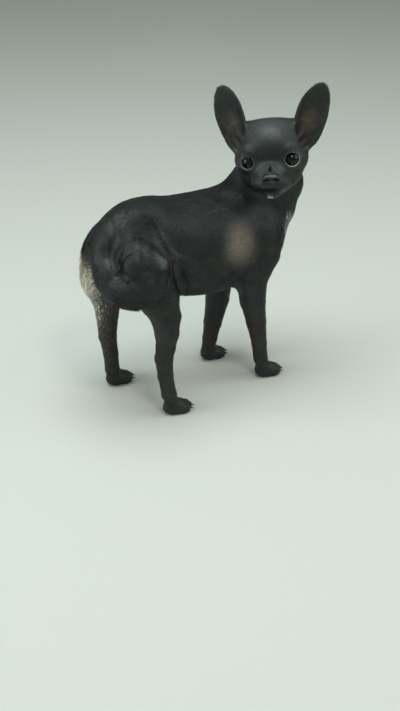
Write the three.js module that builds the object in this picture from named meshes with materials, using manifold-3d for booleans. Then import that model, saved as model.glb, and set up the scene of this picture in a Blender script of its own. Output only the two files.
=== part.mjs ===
// A smooth-coated chihuahua standing with its head turned back over its right side.
// Millimetres. +X is the way the body faces, +Y the dog's left, +Z up, and the soles stand on z = 0.
// The flesh is one blended form, a signed distance built from named limbs, balls and a trunk.
// It is meshed part by part, and each part is trimmed so that it meets its neighbours face to face.
import * as THREE from 'three';
import { mergeVertices } from 'three/addons/utils/BufferGeometryUtils.js';
import Module from 'manifold-3d';

const wasm = await Module();
wasm.setup();

// Fit between neighbours
const GAP = 0.3;
const SNUG = GAP + 0.1;
const EAR_SEAT = GAP + 0.3;

// Mesh cell of each part along its three axes, fine where the form is small
const TORSO_CELLS = [10.6, 8.8, 8.8];
const NECK_CELLS = [7.5, 7.5, 7.5];
const LEG_CELLS = [5.8, 5.8, 8.4];
const PAW_CELLS = [3.6, 3.5, 3.5];
const TAIL_CELLS = [5.4, 5.4, 5.4];
const NOSE_CELLS = [1.6, 1.6, 1.6];
const HEAD_CELLS = [
  (forward) => (forward < 8 ? 6.4 : 3.1),
  (left) => (Math.abs(left) < 20 ? 3.2 : 4.4),
  (up) => (up < 3 ? 3.2 : 5.6),
];

// Trunk: how far along, height of back, height of belly, half width
const TRUNK = [
  [-94, 170, 148, 13],
  [-86, 182, 140, 22],
  [-74, 191, 132, 29],
  [-58, 197.5, 123, 34],
  [-38, 198.5, 111, 36],
  [-15, 194, 101, 39],
  [10, 192, 96, 41],
  [38, 191, 96, 40],
  [62, 185, 98, 37],
  [84, 175, 109, 28.5],
  [97, 162, 120, 19.5],
  [106, 150, 129, 10],
];
const TRUNK_FRONT = 102;
const TRUNK_REAR = -88;
const RIB_SPRING = 0.1;
const SECTION_POWER = 2.2;

// Legs from hip or shoulder down to the pastern: x, y, z, radius
const HIND_RIGHT = [
  [-61, -20, 156, 24], [-60, -27, 140, 25], [-54, -34, 121, 18.5], [-49, -37, 103, 14], [-48, -37, 86, 11.3],
  [-49, -36.5, 72, 9.2], [-51, -36, 60, 8.6], [-50, -36.5, 42, 7.4], [-47, -37, 22, 7], [-44, -37, 12, 6.5],
];
const HIND_LEFT = [
  [-61, 20, 156, 24], [-63, 27, 138, 25], [-65, 37, 118, 20.5], [-65.5, 41, 98, 15.5], [-67, 40, 78, 11.3],
  [-69, 37.5, 55, 8.8], [-67, 37, 36, 7.5], [-66, 37, 18, 7], [-65, 37, 11, 6.5],
];
const FORE_RIGHT = [
  [64, -22, 150, 20], [58, -27, 134, 20], [45.5, -34, 113, 15.3], [48.5, -33, 90, 12.3], [54, -32, 66, 9.8],
  [60, -30, 40, 7.6], [63, -29, 22, 6.9], [66, -29, 11, 6.5],
];
const FORE_LEFT = [
  [64, 22, 150, 20], [60, 27, 134, 20], [55, 33, 112, 16], [54.5, 32, 88, 14.2], [52, 31, 64, 12],
  [46, 30, 40, 9.4], [42, 29, 24, 7.5], [39, 28, 11, 6.6],
];
const LEG_BLEND = 9;

// Paws: middle of the foot on the floor and the way it points, in degrees from +X
const PAWS = {
  hindpaw_right: { x: -41, y: -37.5, yaw: -4 },
  hindpaw_left: { x: -61, y: 37, yaw: 6 },
  forepaw_right: { x: 70, y: -29, yaw: -2 },
  forepaw_left: { x: 43, y: 28, yaw: 4 },
};
const PASTERN_HEIGHT = 17;
const TOES = [[6.5, -6.3], [9.8, -2.3], [9.8, 2.3], [6.5, 6.3]];
const CLAW_LENGTH = 5.2;
const CLAW_RADIUS = 1.25;

// Neck: a throat column and the ridge of the nape
const THROAT = [[60, 0, 156, 27], [84, -1, 171, 28], [91, -6, 190, 25], [86, -10, 208, 23.5]];
const NAPE = [[44, 0, 172.5, 20], [64, -7, 196.5, 20], [76, -14, 215, 21]];

// Tail: hangs from the croup, comes round the right buttock and coils up on the thigh: x, y, z, half width
const TAIL = [
  [-76, 0, 183, 12], [-85, 0, 175, 13.5], [-91, -1, 164, 13.8], [-92.5, -5.5, 153.8, 14.4],
  [-94, -14.5, 146, 14.8], [-93, -18.5, 140, 15], [-90.5, -25, 135.5, 15], [-88.5, -33, 134.5, 14.8],
  [-84.5, -40, 134.2, 14.2], [-78.5, -45, 136.4, 13.2], [-71.4, -48.2, 140.6, 11.8], [-66, -48.5, 146.3, 10.6],
  [-63.7, -47.3, 153.1, 9.8], [-67.3, -46.3, 160.5, 9.2], [-74, -44.8, 164.8, 8.5], [-79.8, -43.1, 162.9, 7.6],
  [-81.8, -42, 157, 6.6],
];
const TAIL_OUTWARD = [
  [-0.6, 0, 0.8], [-0.85, -0.1, 0.5], [-0.95, -0.15, 0.2], [-0.97, -0.1, -0.05], [-0.95, -0.2, -0.12],
  [-0.93, -0.25, -0.22], [-0.9, -0.35, -0.25], [-0.8, -0.5, -0.28], [-0.72, -0.62, -0.28], [-0.62, -0.75, -0.15],
  [-0.45, -0.88, 0], [-0.28, -0.92, 0.2], [-0.2, -0.9, 0.35], [-0.25, -0.9, 0.35], [-0.35, -0.87, 0.33],
  [-0.42, -0.85, 0.3], [-0.5, -0.82, 0.25],
];
const TAIL_FLATNESS = 0.6;

// Head: middle of the skull, and the way the face points
const SKULL = [70.5, -24.3, 229.1];
const FACE_TURN = -129.2;
const FACE_LIFT = 2;
const FACE_ROLL = 5.5;

// Eyes in the head frame: forward, left, up
const EYE_RADIUS = 8.8;
const EYES = {
  eye_right: { side: -1, centre: [15.6, -18.3, -5.2], opening: 0.93 },
  eye_left: { side: 1, centre: [15.6, 17.1, -4.2], opening: 1 },
};
const LID_THICKNESS = 1.3;
const LID_OPENING = [7, 6.5, 5.9];

// Ears in the head frame
const EAR_HALF_WIDTH = 14.6;
const EAR_SHOULDER = 11;
const EAR_HEIGHT = 45;
const EAR_ROOT = -15;
const EAR_TURN = 18;
const EAR_BOWL = { place: [3, 2, 9.5], radii: [20, 13, 12.8] };
const EARS = {
  ear_right: {
    side: -1, along: [-0.06, -0.346, 0.938], base: [-5, -27.4, 14], innerBulge: 0.5, outerTrim: 3.2,
  },
  ear_left: {
    side: 1, along: [-0.06, 0.477, 0.879], base: [-5, 27.6, 12.8], innerBulge: 2.5, outerTrim: 1.8,
  },
};

// Colours
const COAT_BLACK = 0x1d1e21;
const COAT_LEG = 0x2a2624;
const EAR_SKIN = 0x2c2524;
const NOSE_BLACK = 0x0d0d0f;
const EYE_BROWN = 0x1c130d;

// Small vector helpers
const radians = THREE.MathUtils.degToRad;
const vector = (v) => new THREE.Vector3(...v);
const plus = (a, b) => a.map((value, i) => value + b[i]);
const scaled = (a, factor) => a.map((value) => value * factor);
const dot = (a, b) => a[0] * b[0] + a[1] * b[1] + a[2] * b[2];
const unit = (a) => scaled(a, 1 / Math.hypot(...a));
const cross = (a, b) => [a[1] * b[2] - a[2] * b[1], a[2] * b[0] - a[0] * b[2], a[0] * b[1] - a[1] * b[0]];
const X_AXIS = [1, 0, 0];
const Y_AXIS = [0, 1, 0];
const Z_AXIS = [0, 0, 1];
const WORLD_AXES = [X_AXIS, Y_AXIS, Z_AXIS];

// The head frame: forward out of the face, left, up
function makeHeadAxes() {
  const turn = radians(FACE_TURN);
  const lift = radians(FACE_LIFT);
  const roll = radians(FACE_ROLL);
  const forward = [Math.cos(turn) * Math.cos(lift), Math.sin(turn) * Math.cos(lift), Math.sin(lift)];
  const levelLeft = [-Math.sin(turn), Math.cos(turn), 0];
  const levelUp = cross(forward, levelLeft);
  const left = plus(scaled(levelLeft, Math.cos(roll)), scaled(levelUp, Math.sin(roll)));
  return [forward, left, cross(forward, left)];
}
const HEAD_AXES = makeHeadAxes();
const headDirection = (v) => [0, 1, 2].map((i) => dot(v, HEAD_AXES.map((axis) => axis[i])));
const headPoint = (v) => plus(SKULL, headDirection(v));

// Blended union and blended cut of two distances
function blendMin(a, b, width) {
  const overlap = Math.max(width - Math.abs(a - b), 0) / width;
  return Math.min(a, b) - overlap * overlap * width * 0.25;
}
const blendMax = (a, b, width) => -blendMin(-a, -b, width);

// A form: a distance, the box that it fills, and how softly it blends in
function form(distance, low, high, blend, carve = false) {
  return { distance, low, high, blend, carve };
}

function boxOf(points) {
  const low = [0, 1, 2].map((i) => Math.min(...points.map((p) => p[i] - p[3])));
  const high = [0, 1, 2].map((i) => Math.max(...points.map((p) => p[i] + p[3])));
  return [low, high];
}

// A chain of tapered round lengths
function limb(points, blend) {
  const links = points.slice(1).map((to, i) => ({ from: points[i], to }));
  const joint = 1.5;
  const distance = (p) => {
    let nearest = Infinity;
    for (const { from, to } of links) {
      const axis = [to[0] - from[0], to[1] - from[1], to[2] - from[2]];
      const offset = [p[0] - from[0], p[1] - from[1], p[2] - from[2]];
      const t = Math.min(Math.max(dot(offset, axis) / dot(axis, axis), 0), 1);
      const away = Math.hypot(offset[0] - t * axis[0], offset[1] - t * axis[1], offset[2] - t * axis[2]);
      const reach = away - (from[3] + (to[3] - from[3]) * t);
      nearest = nearest === Infinity ? reach : blendMin(nearest, reach, joint);
    }
    return nearest;
  };
  const [low, high] = boxOf(points);
  return form(distance, low, high, blend);
}

// A flattened chain, thinner along the outward direction of each point
function band(points, outward, flatness, blend) {
  const squeeze = (v, n) => {
    const along = dot(v, n) * (1 / flatness - 1);
    return [v[0] + n[0] * along, v[1] + n[1] * along, v[2] + n[2] * along];
  };
  const links = points.slice(1).map((to, i) => {
    const normal = unit(plus(unit(outward[i]), unit(outward[i + 1])));
    const axis = squeeze([to[0] - points[i][0], to[1] - points[i][1], to[2] - points[i][2]], normal);
    return { from: points[i], to, normal, axis };
  });
  const joint = 2;
  const distance = (p) => {
    let nearest = Infinity;
    for (const { from, to, normal, axis } of links) {
      const offset = squeeze([p[0] - from[0], p[1] - from[1], p[2] - from[2]], normal);
      const t = Math.min(Math.max(dot(offset, axis) / dot(axis, axis), 0), 1);
      const away = Math.hypot(offset[0] - t * axis[0], offset[1] - t * axis[1], offset[2] - t * axis[2]);
      const reach = (away - (from[3] + (to[3] - from[3]) * t)) * flatness;
      nearest = nearest === Infinity ? reach : blendMin(nearest, reach, joint);
    }
    return nearest;
  };
  const [low, high] = boxOf(points);
  return form(distance, low, high, blend);
}

// An ellipsoid on its own axes
function ball(centre, radii, blend, axes = WORLD_AXES, carve = false) {
  const frame = axes.map(unit);
  const distance = (p) => {
    const offset = [p[0] - centre[0], p[1] - centre[1], p[2] - centre[2]];
    let near = 0;
    let slope = 0;
    for (let i = 0; i < 3; i += 1) {
      const q = dot(offset, frame[i]) / radii[i];
      near += q * q;
      slope += (q / radii[i]) ** 2;
    }
    const scale = Math.sqrt(near);
    return (scale * (scale - 1)) / (Math.sqrt(slope) + 1e-9);
  };
  const reach = Math.max(...radii);
  const low = centre.map((value) => value - reach);
  const high = centre.map((value) => value + reach);
  return form(distance, low, high, blend, carve);
}

// The same two shapes given in the head frame
function headBall(centre, radii, blend, carve = false, axes = WORLD_AXES) {
  return ball(headPoint(centre), radii, blend, axes.map(headDirection), carve);
}
function headLimb(points, blend) {
  return limb(points.map((p) => [...headPoint(p.slice(0, 3)), p[3]]), blend);
}

// The trunk's outline at any distance along, as a smooth curve through its stations
function stationSlope(column, i) {
  const before = Math.max(i - 1, 0);
  const after = Math.min(i + 1, TRUNK.length - 1);
  return (TRUNK[after][column] - TRUNK[before][column]) / (TRUNK[after][0] - TRUNK[before][0]);
}
function trunkSection(x) {
  const place = Math.min(Math.max(x, TRUNK[0][0]), TRUNK[TRUNK.length - 1][0]);
  let i = 0;
  while (i < TRUNK.length - 2 && place > TRUNK[i + 1][0]) {
    i += 1;
  }
  const step = TRUNK[i + 1][0] - TRUNK[i][0];
  const t = (place - TRUNK[i][0]) / step;
  const value = (column) =>
    (2 * t ** 3 - 3 * t ** 2 + 1) * TRUNK[i][column] +
    (t ** 3 - 2 * t ** 2 + t) * step * stationSlope(column, i) +
    (3 * t ** 2 - 2 * t ** 3) * TRUNK[i + 1][column] +
    (t ** 3 - t ** 2) * step * stationSlope(column, i + 1);
  return { top: value(1), bottom: value(2), halfWidth: value(3) };
}
function trunk() {
  const blend = 10;
  const frontRound = 22;
  const rearRound = 18;
  const distance = ([x, y, z]) => {
    const { top, bottom, halfWidth } = trunkSection(x);
    const middle = (top + bottom) / 2;
    const halfHeight = (top - bottom) / 2;
    const up = (z - middle) / halfHeight;
    const half = halfWidth * (1 + RIB_SPRING * Math.min(Math.max(up, -1.2), 1.2));
    const across = y / half;
    const scale = (Math.abs(across) ** SECTION_POWER + Math.abs(up) ** SECTION_POWER) ** (1 / SECTION_POWER);
    const slope = Math.hypot(y / half ** 2, up / halfHeight) / (scale + 1e-9) + 1e-9;
    const section = Math.min((scale - 1) / slope, 60);
    return blendMax(blendMax(section, x - TRUNK_FRONT, frontRound), TRUNK_REAR - x, rearRound);
  };
  return form(distance, [-110, -50, 80], [116, 50, 205], blend);
}

// One paw: the body of the foot and four toes
function pawAxes(paw) {
  const turn = radians(paw.yaw);
  return [[Math.cos(turn), Math.sin(turn), 0], [-Math.sin(turn), Math.cos(turn), 0], Z_AXIS];
}
function pawPoint(paw, forward, left, up) {
  const [ahead, aside] = pawAxes(paw);
  return plus(plus([paw.x, paw.y, up], scaled(ahead, forward)), scaled(aside, left));
}
function pawForms(paw) {
  const axes = pawAxes(paw);
  const toes = TOES.map(([forward, left]) => ball(pawPoint(paw, forward, left, 4.6), [6.4, 3.2, 5], 1.2, axes));
  return [ball(pawPoint(paw, 0, 0, 6.5), [12, 8.6, 7.5], 4, axes), ...toes];
}

// Skull, muzzle and jaws
const SIDES = [-1, 1];
function headForms() {
  const pairs = SIDES.flatMap((side) => [
    headBall([-5, side * 15, 8.5], [20, 15, 14.5], 8),
    headBall([5, side * 20.5, -6], [15, 12, 13.5], 6),
    headBall([7, side * 14.5, -20], [14, 11, 11], 6),
    headBall([17, side * 14.5, 5.5], [8, 9, 6.5], 5),
  ]);
  const lips = SIDES.flatMap((side) => [
    headBall([35.5, side * 6.2, -18.6], [7.4, 7.8, 6], 3),
    headBall([29, side * 11.5, -20], [9, 5.5, 6], 4),
    headLimb([[8, side * 8, -27, 9], [30, side * 2.5, -28.2, 5.6]], 4),
  ]);
  return [
    headBall([-3, 0, 1.5], [31, 29.5, 25.2], 8),
    headBall([8, 0, 8], [19, 22, 17.5], 8),
    headBall([6, 0, -14], [22, 24, 15], 8),
    ...pairs,
    headLimb([[14, 0, -9, 10], [30, 0, -11.5, 7.6], [38.5, 0, -13, 5.6]], 4),
    headBall([26, 0, -19], [16, 15.5, 9.5], 6),
    ...lips,
    headBall([31.5, 0, -28.5], [7, 7.5, 5.2], 3),
  ];
}

// Lids: a shell over each eyeball, which the opening and the socket leave as a raised ring
const eyeDirection = (side) => unit([0.93, 0.26 * side, 0.14]);
const LID_RADIUS = EYE_RADIUS + LID_THICKNESS;
const lidForm = ({ centre }) => headBall(centre, [LID_RADIUS, LID_RADIUS, LID_RADIUS], 3);

// The line of the mouth and the groove under the nose, in the head frame: forward, left, up
const MOUTH_LINE = [
  [43.2, 0, -22], [41.8, 4, -23.4], [38.5, 9, -24.6], [32, 13.2, -24.9], [24, 16.3, -24], [17, 18.2, -22.5],
];
const PHILTRUM = [[45, 0, -15], [44, 0, -22]];
const MOUTH_GROOVE = 1.1;
const PHILTRUM_GROOVE = 0.7;

// Each ear has its own directions: up the leaf, outward across it, and the way its cup faces
function earAxes({ side, along }) {
  const up = unit(along);
  const turn = radians(EAR_TURN);
  const facing = [Math.cos(turn), side * Math.sin(turn), 0];
  const front = unit(plus(facing, scaled(up, -dot(facing, up))));
  const across = cross(front, up);
  return [up, scaled(across, side * Math.sign(across[1])), front];
}
function earPoint(ear, s, b, c) {
  const [up, outward, front] = earAxes(ear);
  return plus(plus(plus(ear.base, scaled(up, s)), scaled(outward, b)), scaled(front, c));
}


const fleshForms = [
  trunk(),
  limb(HIND_RIGHT, LEG_BLEND),
  limb(HIND_LEFT, LEG_BLEND),
  ball([-79, 35, 121], [11, 13, 20], 8),
  limb(FORE_RIGHT, LEG_BLEND),
  limb(FORE_LEFT, LEG_BLEND),
  limb(THROAT, 12),
  limb(NAPE, 10),
  ...Object.values(PAWS).flatMap(pawForms),
  ball([-74, -24, 150], [18, 15, 22], 8),
  ball([-74, 26, 148], [20, 15, 24], 8),
  ...headForms(),
  ...SIDES.map((side) => headBall([-8, side * 25.5, 9.5], [12, 11.5, 14], 7)),
  ...Object.values(EYES).map(lidForm),
];
const tailForms = [band(TAIL, TAIL_OUTWARD, TAIL_FLATNESS, 3)];

// The nose pad with its two nostrils
const NOSE_SIDE_SHIFT = 0.9;
function noseForms() {
  const leather = [
    headBall([42.2, NOSE_SIDE_SHIFT, -12.6], [4.4, 6.8, 4], 1),
    headBall([42.8, NOSE_SIDE_SHIFT, -15.2], [3, 3.8, 2.8], 2),
    ...SIDES.map((side) => headBall([42.2, NOSE_SIDE_SHIFT + side * 4.8, -13], [3.8, 3.1, 3.5], 1.5)),
  ];
  const nostrils = SIDES.flatMap((side) => [
    headBall([47, NOSE_SIDE_SHIFT + side * 3.7, -13.2], [3.4, 1.9, 1.8], 0.6, true),
    headBall([45, NOSE_SIDE_SHIFT + side * 6.2, -14.2], [2.6, 2.2, 0.8], 0.6, true),
  ]);
  return [...leather, ...nostrils];
}

// Distance to a set of forms, each read only near its own box
const MARGIN = 3;
const FAR = 60;
function distanceTo(forms, p) {
  let value = FAR;
  for (const { distance, low, high, blend, carve } of forms) {
    const margin = blend + MARGIN;
    const inside = p.every((c, i) => c > low[i] - margin && c < high[i] + margin);
    if (inside) {
      const here = distance(p);
      value = carve ? blendMax(value, -here, blend) : blendMin(value, here, blend);
    }
  }
  return value;
}

// Mesh of the surface at a level. The box is cut into cells, in the head frame if it says so.
// There is one vertex in each crossed cell, drawn on to the surface afterwards.
const CORNERS = [0, 1, 2, 3, 4, 5, 6, 7].map((n) => [n & 1, (n >> 1) & 1, (n >> 2) & 1]);
const EDGES = CORNERS.flatMap((corner, a) =>
  [0, 1, 2].filter((axis) => corner[axis] === 0).map((axis) => [a, a + (1 << axis), axis]));
function gridLines(low, high, cell) {
  const lines = [low];
  while (lines[lines.length - 1] < high) {
    const last = lines[lines.length - 1];
    lines.push(last + (typeof cell === 'function' ? cell(last) : cell));
  }
  return lines;
}
function surfaceOf(forms, { low, high, cells, inHead }, level = 0) {
  const lines = low.map((value, i) => gridLines(value, high[i], cells[i]));
  const count = lines.map((line) => line.length);
  const stride = [1, count[0], count[0] * count[1]];
  const at = (place) => dot(place, stride);
  const toBody = inHead ? headPoint : (p) => p;
  const field = new Float64Array(count[0] * count[1] * count[2]);
  const eachPlace = (last, visit) => {
    for (let k = 0; k < count[2] - last; k += 1) {
      for (let j = 0; j < count[1] - last; j += 1) {
        for (let i = 0; i < count[0] - last; i += 1) {
          visit([i, j, k]);
        }
      }
    }
  };
  eachPlace(0, (place) => {
    const value = distanceTo(forms, toBody(place.map((n, axis) => lines[axis][n]))) - level;
    const rim = place.some((n, axis) => n === 0 || n === count[axis] - 1);
    field[at(place)] = rim ? Math.max(value, 0.5) : value;
  });
  openPinches(field, stride);
  const cornerStep = CORNERS.map(at);
  const vertexOf = new Int32Array(field.length).fill(-1);
  const vertices = [];
  eachPlace(1, (place) => {
    const start = at(place);
    const sum = [0, 0, 0];
    let crossings = 0;
    for (const [a, b, axis] of EDGES) {
      const from = field[start + cornerStep[a]];
      const to = field[start + cornerStep[b]];
      if (from < 0 !== to < 0) {
        CORNERS[a].forEach((value, n) => {
          sum[n] += value + (n === axis ? from / (from - to) : 0);
        });
        crossings += 1;
      }
    }
    if (crossings > 0) {
      vertexOf[start] = vertices.length;
      const cell = place.map((n, axis) => lines[axis][n + 1] - lines[axis][n]);
      const inCell = place.map((n, axis) => lines[axis][n] + (sum[axis] / crossings) * cell[axis]);
      vertices.push(settle(forms, toBody(inCell), Math.min(...cell), level));
    }
  });
  const index = [];
  eachPlace(1, (place) => {
    const start = at(place);
    for (let axis = 0; axis < 3; axis += 1) {
      const inside = field[start] < 0;
      if (inside !== field[start + stride[axis]] < 0) {
        const u = stride[(axis + 1) % 3];
        const v = stride[(axis + 2) % 3];
        const ring = [start - u - v, start - v, start, start - u].map((n) => vertexOf[n]);
        const [a, b, c, d] = inside ? ring : ring.reverse();
        index.push(a, b, c, a, c, d);
      }
    }
  });
  const geometry = new THREE.BufferGeometry();
  geometry.setAttribute('position', new THREE.Float32BufferAttribute(vertices.flat(), 3));
  geometry.setIndex(index);
  return geometry;
}

// Where only two opposite corners of a cell's face are inside, the fainter one is taken out of the form
function openPinches(field, stride) {
  const faces = [[0, 1], [1, 2], [2, 0]].map(([a, b]) => [stride[a], stride[b]]);
  const rim = stride[2] + stride[1] + stride[0];
  let pinched = true;
  while (pinched) {
    pinched = false;
    for (let start = 0; start < field.length - rim; start += 1) {
      for (const [u, v] of faces) {
        for (const pair of [[start, start + u + v], [start + u, start + v]]) {
          const other = pair[0] === start ? [start + u, start + v] : [start, start + u + v];
          if (pair.every((n) => field[n] < 0) && other.every((n) => field[n] >= 0)) {
            const faint = field[pair[0]] > field[pair[1]] ? pair[0] : pair[1];
            field[faint] = 0.05;
            pinched = true;
          }
        }
      }
    }
  }
}

// Draws a vertex on to the surface along the slope of the distance
function settle(forms, vertex, cell, level) {
  const probe = 0.3;
  const longest = cell * 0.3;
  let p = vertex;
  for (let pass = 0; pass < 3; pass += 1) {
    const away = distanceTo(forms, p) - level;
    const slope = [0, 1, 2].map((i) => {
      const ahead = p.map((value, n) => value + (n === i ? probe : 0));
      const behind = p.map((value, n) => value - (n === i ? probe : 0));
      return (distanceTo(forms, ahead) - distanceTo(forms, behind)) / (2 * probe);
    });
    const steepness = dot(slope, slope) + 1e-6;
    const step = Math.min(Math.max(-away / steepness, -longest), longest);
    p = plus(p, scaled(slope, step));
  }
  const drift = Math.hypot(...p.map((value, i) => value - vertex[i]));
  return drift < cell * 0.45 ? p : vertex;
}

// Solids for joining and cutting
function solidOf(geometry, matrix) {
  const bare = geometry.clone();
  bare.deleteAttribute('normal');
  bare.deleteAttribute('uv');
  if (matrix) {
    bare.applyMatrix4(matrix);
  }
  const merged = mergeVertices(bare, 1e-4);
  const mesh = new wasm.Mesh({
    numProp: 3,
    vertProperties: new Float32Array(merged.attributes.position.array),
    triVerts: new Uint32Array(merged.index.array),
  });
  return new wasm.Manifold(mesh);
}
function largestOf(solid) {
  const pieces = solid.decompose();
  return pieces.reduce((best, piece) => (piece.volume() > best.volume() ? piece : best));
}
function geometryOf(solid) {
  const { vertProperties, triVerts } = solid.getMesh();
  const geometry = new THREE.BufferGeometry();
  geometry.setAttribute('position', new THREE.BufferAttribute(new Float32Array(vertProperties), 3));
  geometry.setIndex(new THREE.BufferAttribute(new Uint32Array(triVerts), 1));
  geometry.computeVertexNormals();
  return geometry;
}

// A very large block that ends at a plane, on the side that the normal points to
const WIDE = 600;
function sideOf({ point, normal }, grow) {
  const n = vector(unit(normal));
  const block = new THREE.BoxGeometry(WIDE, WIDE, WIDE);
  const turn = new THREE.Quaternion().setFromUnitVectors(vector(Z_AXIS), n);
  const centre = vector(point).addScaledVector(n, WIDE / 2 - grow);
  return solidOf(block, new THREE.Matrix4().compose(centre, turn, vector([1, 1, 1])));
}
function wedge(planes, grow) {
  return planes.map((plane) => sideOf(plane, grow)).reduce((a, b) => a.intersect(b));
}

// Where the body is divided. Each part is the side that the normals point to
const HEAD_CUT = [{ point: [80, -12, 206], normal: [-0.05, -0.35, 0.93] }];
const NECK_CUT = [{ point: [66, 0, 184], normal: [0.45, 0, 0.89] }];
const FORELEG_TOP = 124;
const forelegCut = (side) => [
  { point: [0, side * 19, 0], normal: [0, side, 0] },
  { point: [0, side * 24, FORELEG_TOP], normal: [0, side * 0.45, -0.9] },
  { point: [18, 0, 0], normal: X_AXIS },
];
const hindlegCut = (side) => [
  { point: [0, side * 10, 0], normal: [0, side, 0] },
  { point: [0, side * 12, 150], normal: [0, side * 0.6, -0.8] },
  { point: [-33, 0, 0], normal: [-1, 0, 0] },
];
const PAW_CUT = [{ point: [0, 0, PASTERN_HEIGHT], normal: [0, 0, -1] }];
const FLOOR = [{ point: [0, 0, 0], normal: Z_AXIS }];
const HALF_GAP = GAP / 2;
const floorSide = wedge(FLOOR, 0);

// Flesh of one part: meshed in its box, kept on its side and cut clear of its neighbours
function fleshPart(box, ownSide, neighbours) {
  let solid = solidOf(surfaceOf(fleshForms, box));
  if (ownSide) {
    solid = solid.intersect(wedge(ownSide, -HALF_GAP));
  }
  for (const neighbour of neighbours) {
    solid = solid.subtract(neighbour);
  }
  return largestOf(solid);
}

const tailBox = { low: [-116, -66, 108], high: [-50, 24, 206], cells: TAIL_CELLS };
const tail = largestOf(solidOf(surfaceOf(tailForms, tailBox)));
const tailCutter = solidOf(surfaceOf(tailForms, tailBox, SNUG));
const headSide = wedge(HEAD_CUT, HALF_GAP);
const neckSide = wedge(NECK_CUT, HALF_GAP);
const legSides = SIDES.flatMap((side) => [
  wedge(forelegCut(side), HALF_GAP),
  wedge(hindlegCut(side), HALF_GAP),
]);
const pawSide = wedge(PAW_CUT, HALF_GAP);

const torsoBox = { low: [-112, -58, 84], high: [128, 58, 214], cells: TORSO_CELLS };
const neckBox = { low: [24, -52, 146], high: [128, 44, 246], cells: NECK_CELLS };
const torso = fleshPart(torsoBox, null, [headSide, neckSide, ...legSides, tailCutter]);
const neck = fleshPart(neckBox, NECK_CUT, [headSide]);
const legs = {
  foreleg_right: { box: { low: [14, -66, 6], high: [100, -10, 146] }, cut: forelegCut(-1) },
  foreleg_left: { box: { low: [14, 10, 6], high: [100, 66, 146] }, cut: forelegCut(1) },
  hindleg_right: { box: { low: [-112, -66, 6], high: [-20, 4, 200] }, cut: hindlegCut(-1) },
  hindleg_left: { box: { low: [-112, -4, 6], high: [-20, 66, 200] }, cut: hindlegCut(1) },
};

// Paw with its claws, cut flat on the floor
function pawPart(paw) {
  const box = { low: [paw.x - 22, paw.y - 16, -4], high: [paw.x + 26, paw.y + 16, 28], cells: PAW_CELLS };
  let solid = solidOf(surfaceOf(fleshForms, box)).intersect(wedge(PAW_CUT, -HALF_GAP));
  const [ahead] = pawAxes(paw);
  for (const [forward, left] of TOES) {
    const claw = new THREE.ConeGeometry(CLAW_RADIUS, CLAW_LENGTH, 6);
    const pointing = vector(unit([ahead[0], ahead[1], -0.45]));
    const turn = new THREE.Quaternion().setFromUnitVectors(vector(Y_AXIS), pointing);
    const root = vector(pawPoint(paw, forward + 7, left * 1.08, 4.4));
    solid = solid.add(solidOf(claw, new THREE.Matrix4().compose(root, turn, vector([1, 1, 1]))));
  }
  return largestOf(solid.intersect(floorSide));
}

// Nose leather, and the bed that it sits in
const noseBox = { low: [33, -11, -23], high: [52, 11, -5], cells: NOSE_CELLS, inHead: true };
const nose = largestOf(solidOf(surfaceOf(noseForms(), noseBox)));
const leatherOnly = noseForms().filter(({ carve }) => !carve);
const noseBed = solidOf(surfaceOf(leatherOnly, noseBox, SNUG));

// Eyeball with the cornea standing a little proud, turned about its gaze
function eyeGeometry() {
  const rows = 11;
  const corneaHalf = 0.6;
  const corneaRise = 0.7;
  const outline = Array.from({ length: rows + 1 }, (unused, i) => {
    const turn = Math.PI * (i / rows);
    const front = Math.max(0, 1 - turn / corneaHalf);
    const radius = EYE_RADIUS - GAP - corneaRise + corneaRise * front ** 2 * (3 - 2 * front);
    const across = i === 0 || i === rows ? 0 : Math.sin(turn) * radius;
    return new THREE.Vector2(across, Math.cos(turn) * radius);
  });
  return new THREE.LatheGeometry(outline.reverse(), 14);
}

// Smooth egg-shaped cutters on head axes, for the sockets, the lids' openings and the bowls of the ears
function eggCutter(centre, radii, axes = WORLD_AXES) {
  const turn = new THREE.Matrix4().makeBasis(...axes.map((axis) => vector(headDirection(unit(axis)))));
  const place = turn.setPosition(vector(headPoint(centre)));
  return solidOf(new THREE.SphereGeometry(1, 18, 10), place.scale(vector(radii)));
}
const socket = ({ centre }) => eggCutter(centre, [EYE_RADIUS, EYE_RADIUS, EYE_RADIUS]);
function lidOpening({ side, centre, opening }) {
  const gaze = eyeDirection(side);
  const across = unit(cross(Z_AXIS, gaze));
  const axes = [gaze, across, cross(gaze, across)];
  return eggCutter(plus(centre, scaled(gaze, EYE_RADIUS)), scaled(LID_OPENING, opening), axes);
}
function earBowl(ear, shrink = 0) {
  const [up, outward, front] = earAxes(ear);
  const [long, wide, deep] = EAR_BOWL.radii.map((radius) => radius - shrink);
  const centre = earPoint(ear, ...EAR_BOWL.place);
  return eggCutter(centre, [wide, deep, long], [scaled(outward, -ear.side), front, up]);
}

// A groove cut by short round-ended rods laid end to end
function grooveCutter(line, radius) {
  const rods = line.slice(1).map((to, i) => {
    const from = vector(headPoint(line[i]));
    const along = vector(headPoint(to)).sub(from);
    const rod = new THREE.CapsuleGeometry(radius, along.length(), 1, 6);
    const turn = new THREE.Quaternion().setFromUnitVectors(vector(Y_AXIS), along.clone().normalize());
    return solidOf(rod, new THREE.Matrix4().compose(from.addScaledVector(along, 0.5), turn, vector([1, 1, 1])));
  });
  return rods.reduce((a, b) => a.add(b));
}
const mouthCutters = [
  ...SIDES.map((side) => grooveCutter(MOUTH_LINE.map(([f, l, u]) => [f, l * side, u]), MOUTH_GROOVE)),
  grooveCutter(PHILTRUM, PHILTRUM_GROOVE),
];

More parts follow.
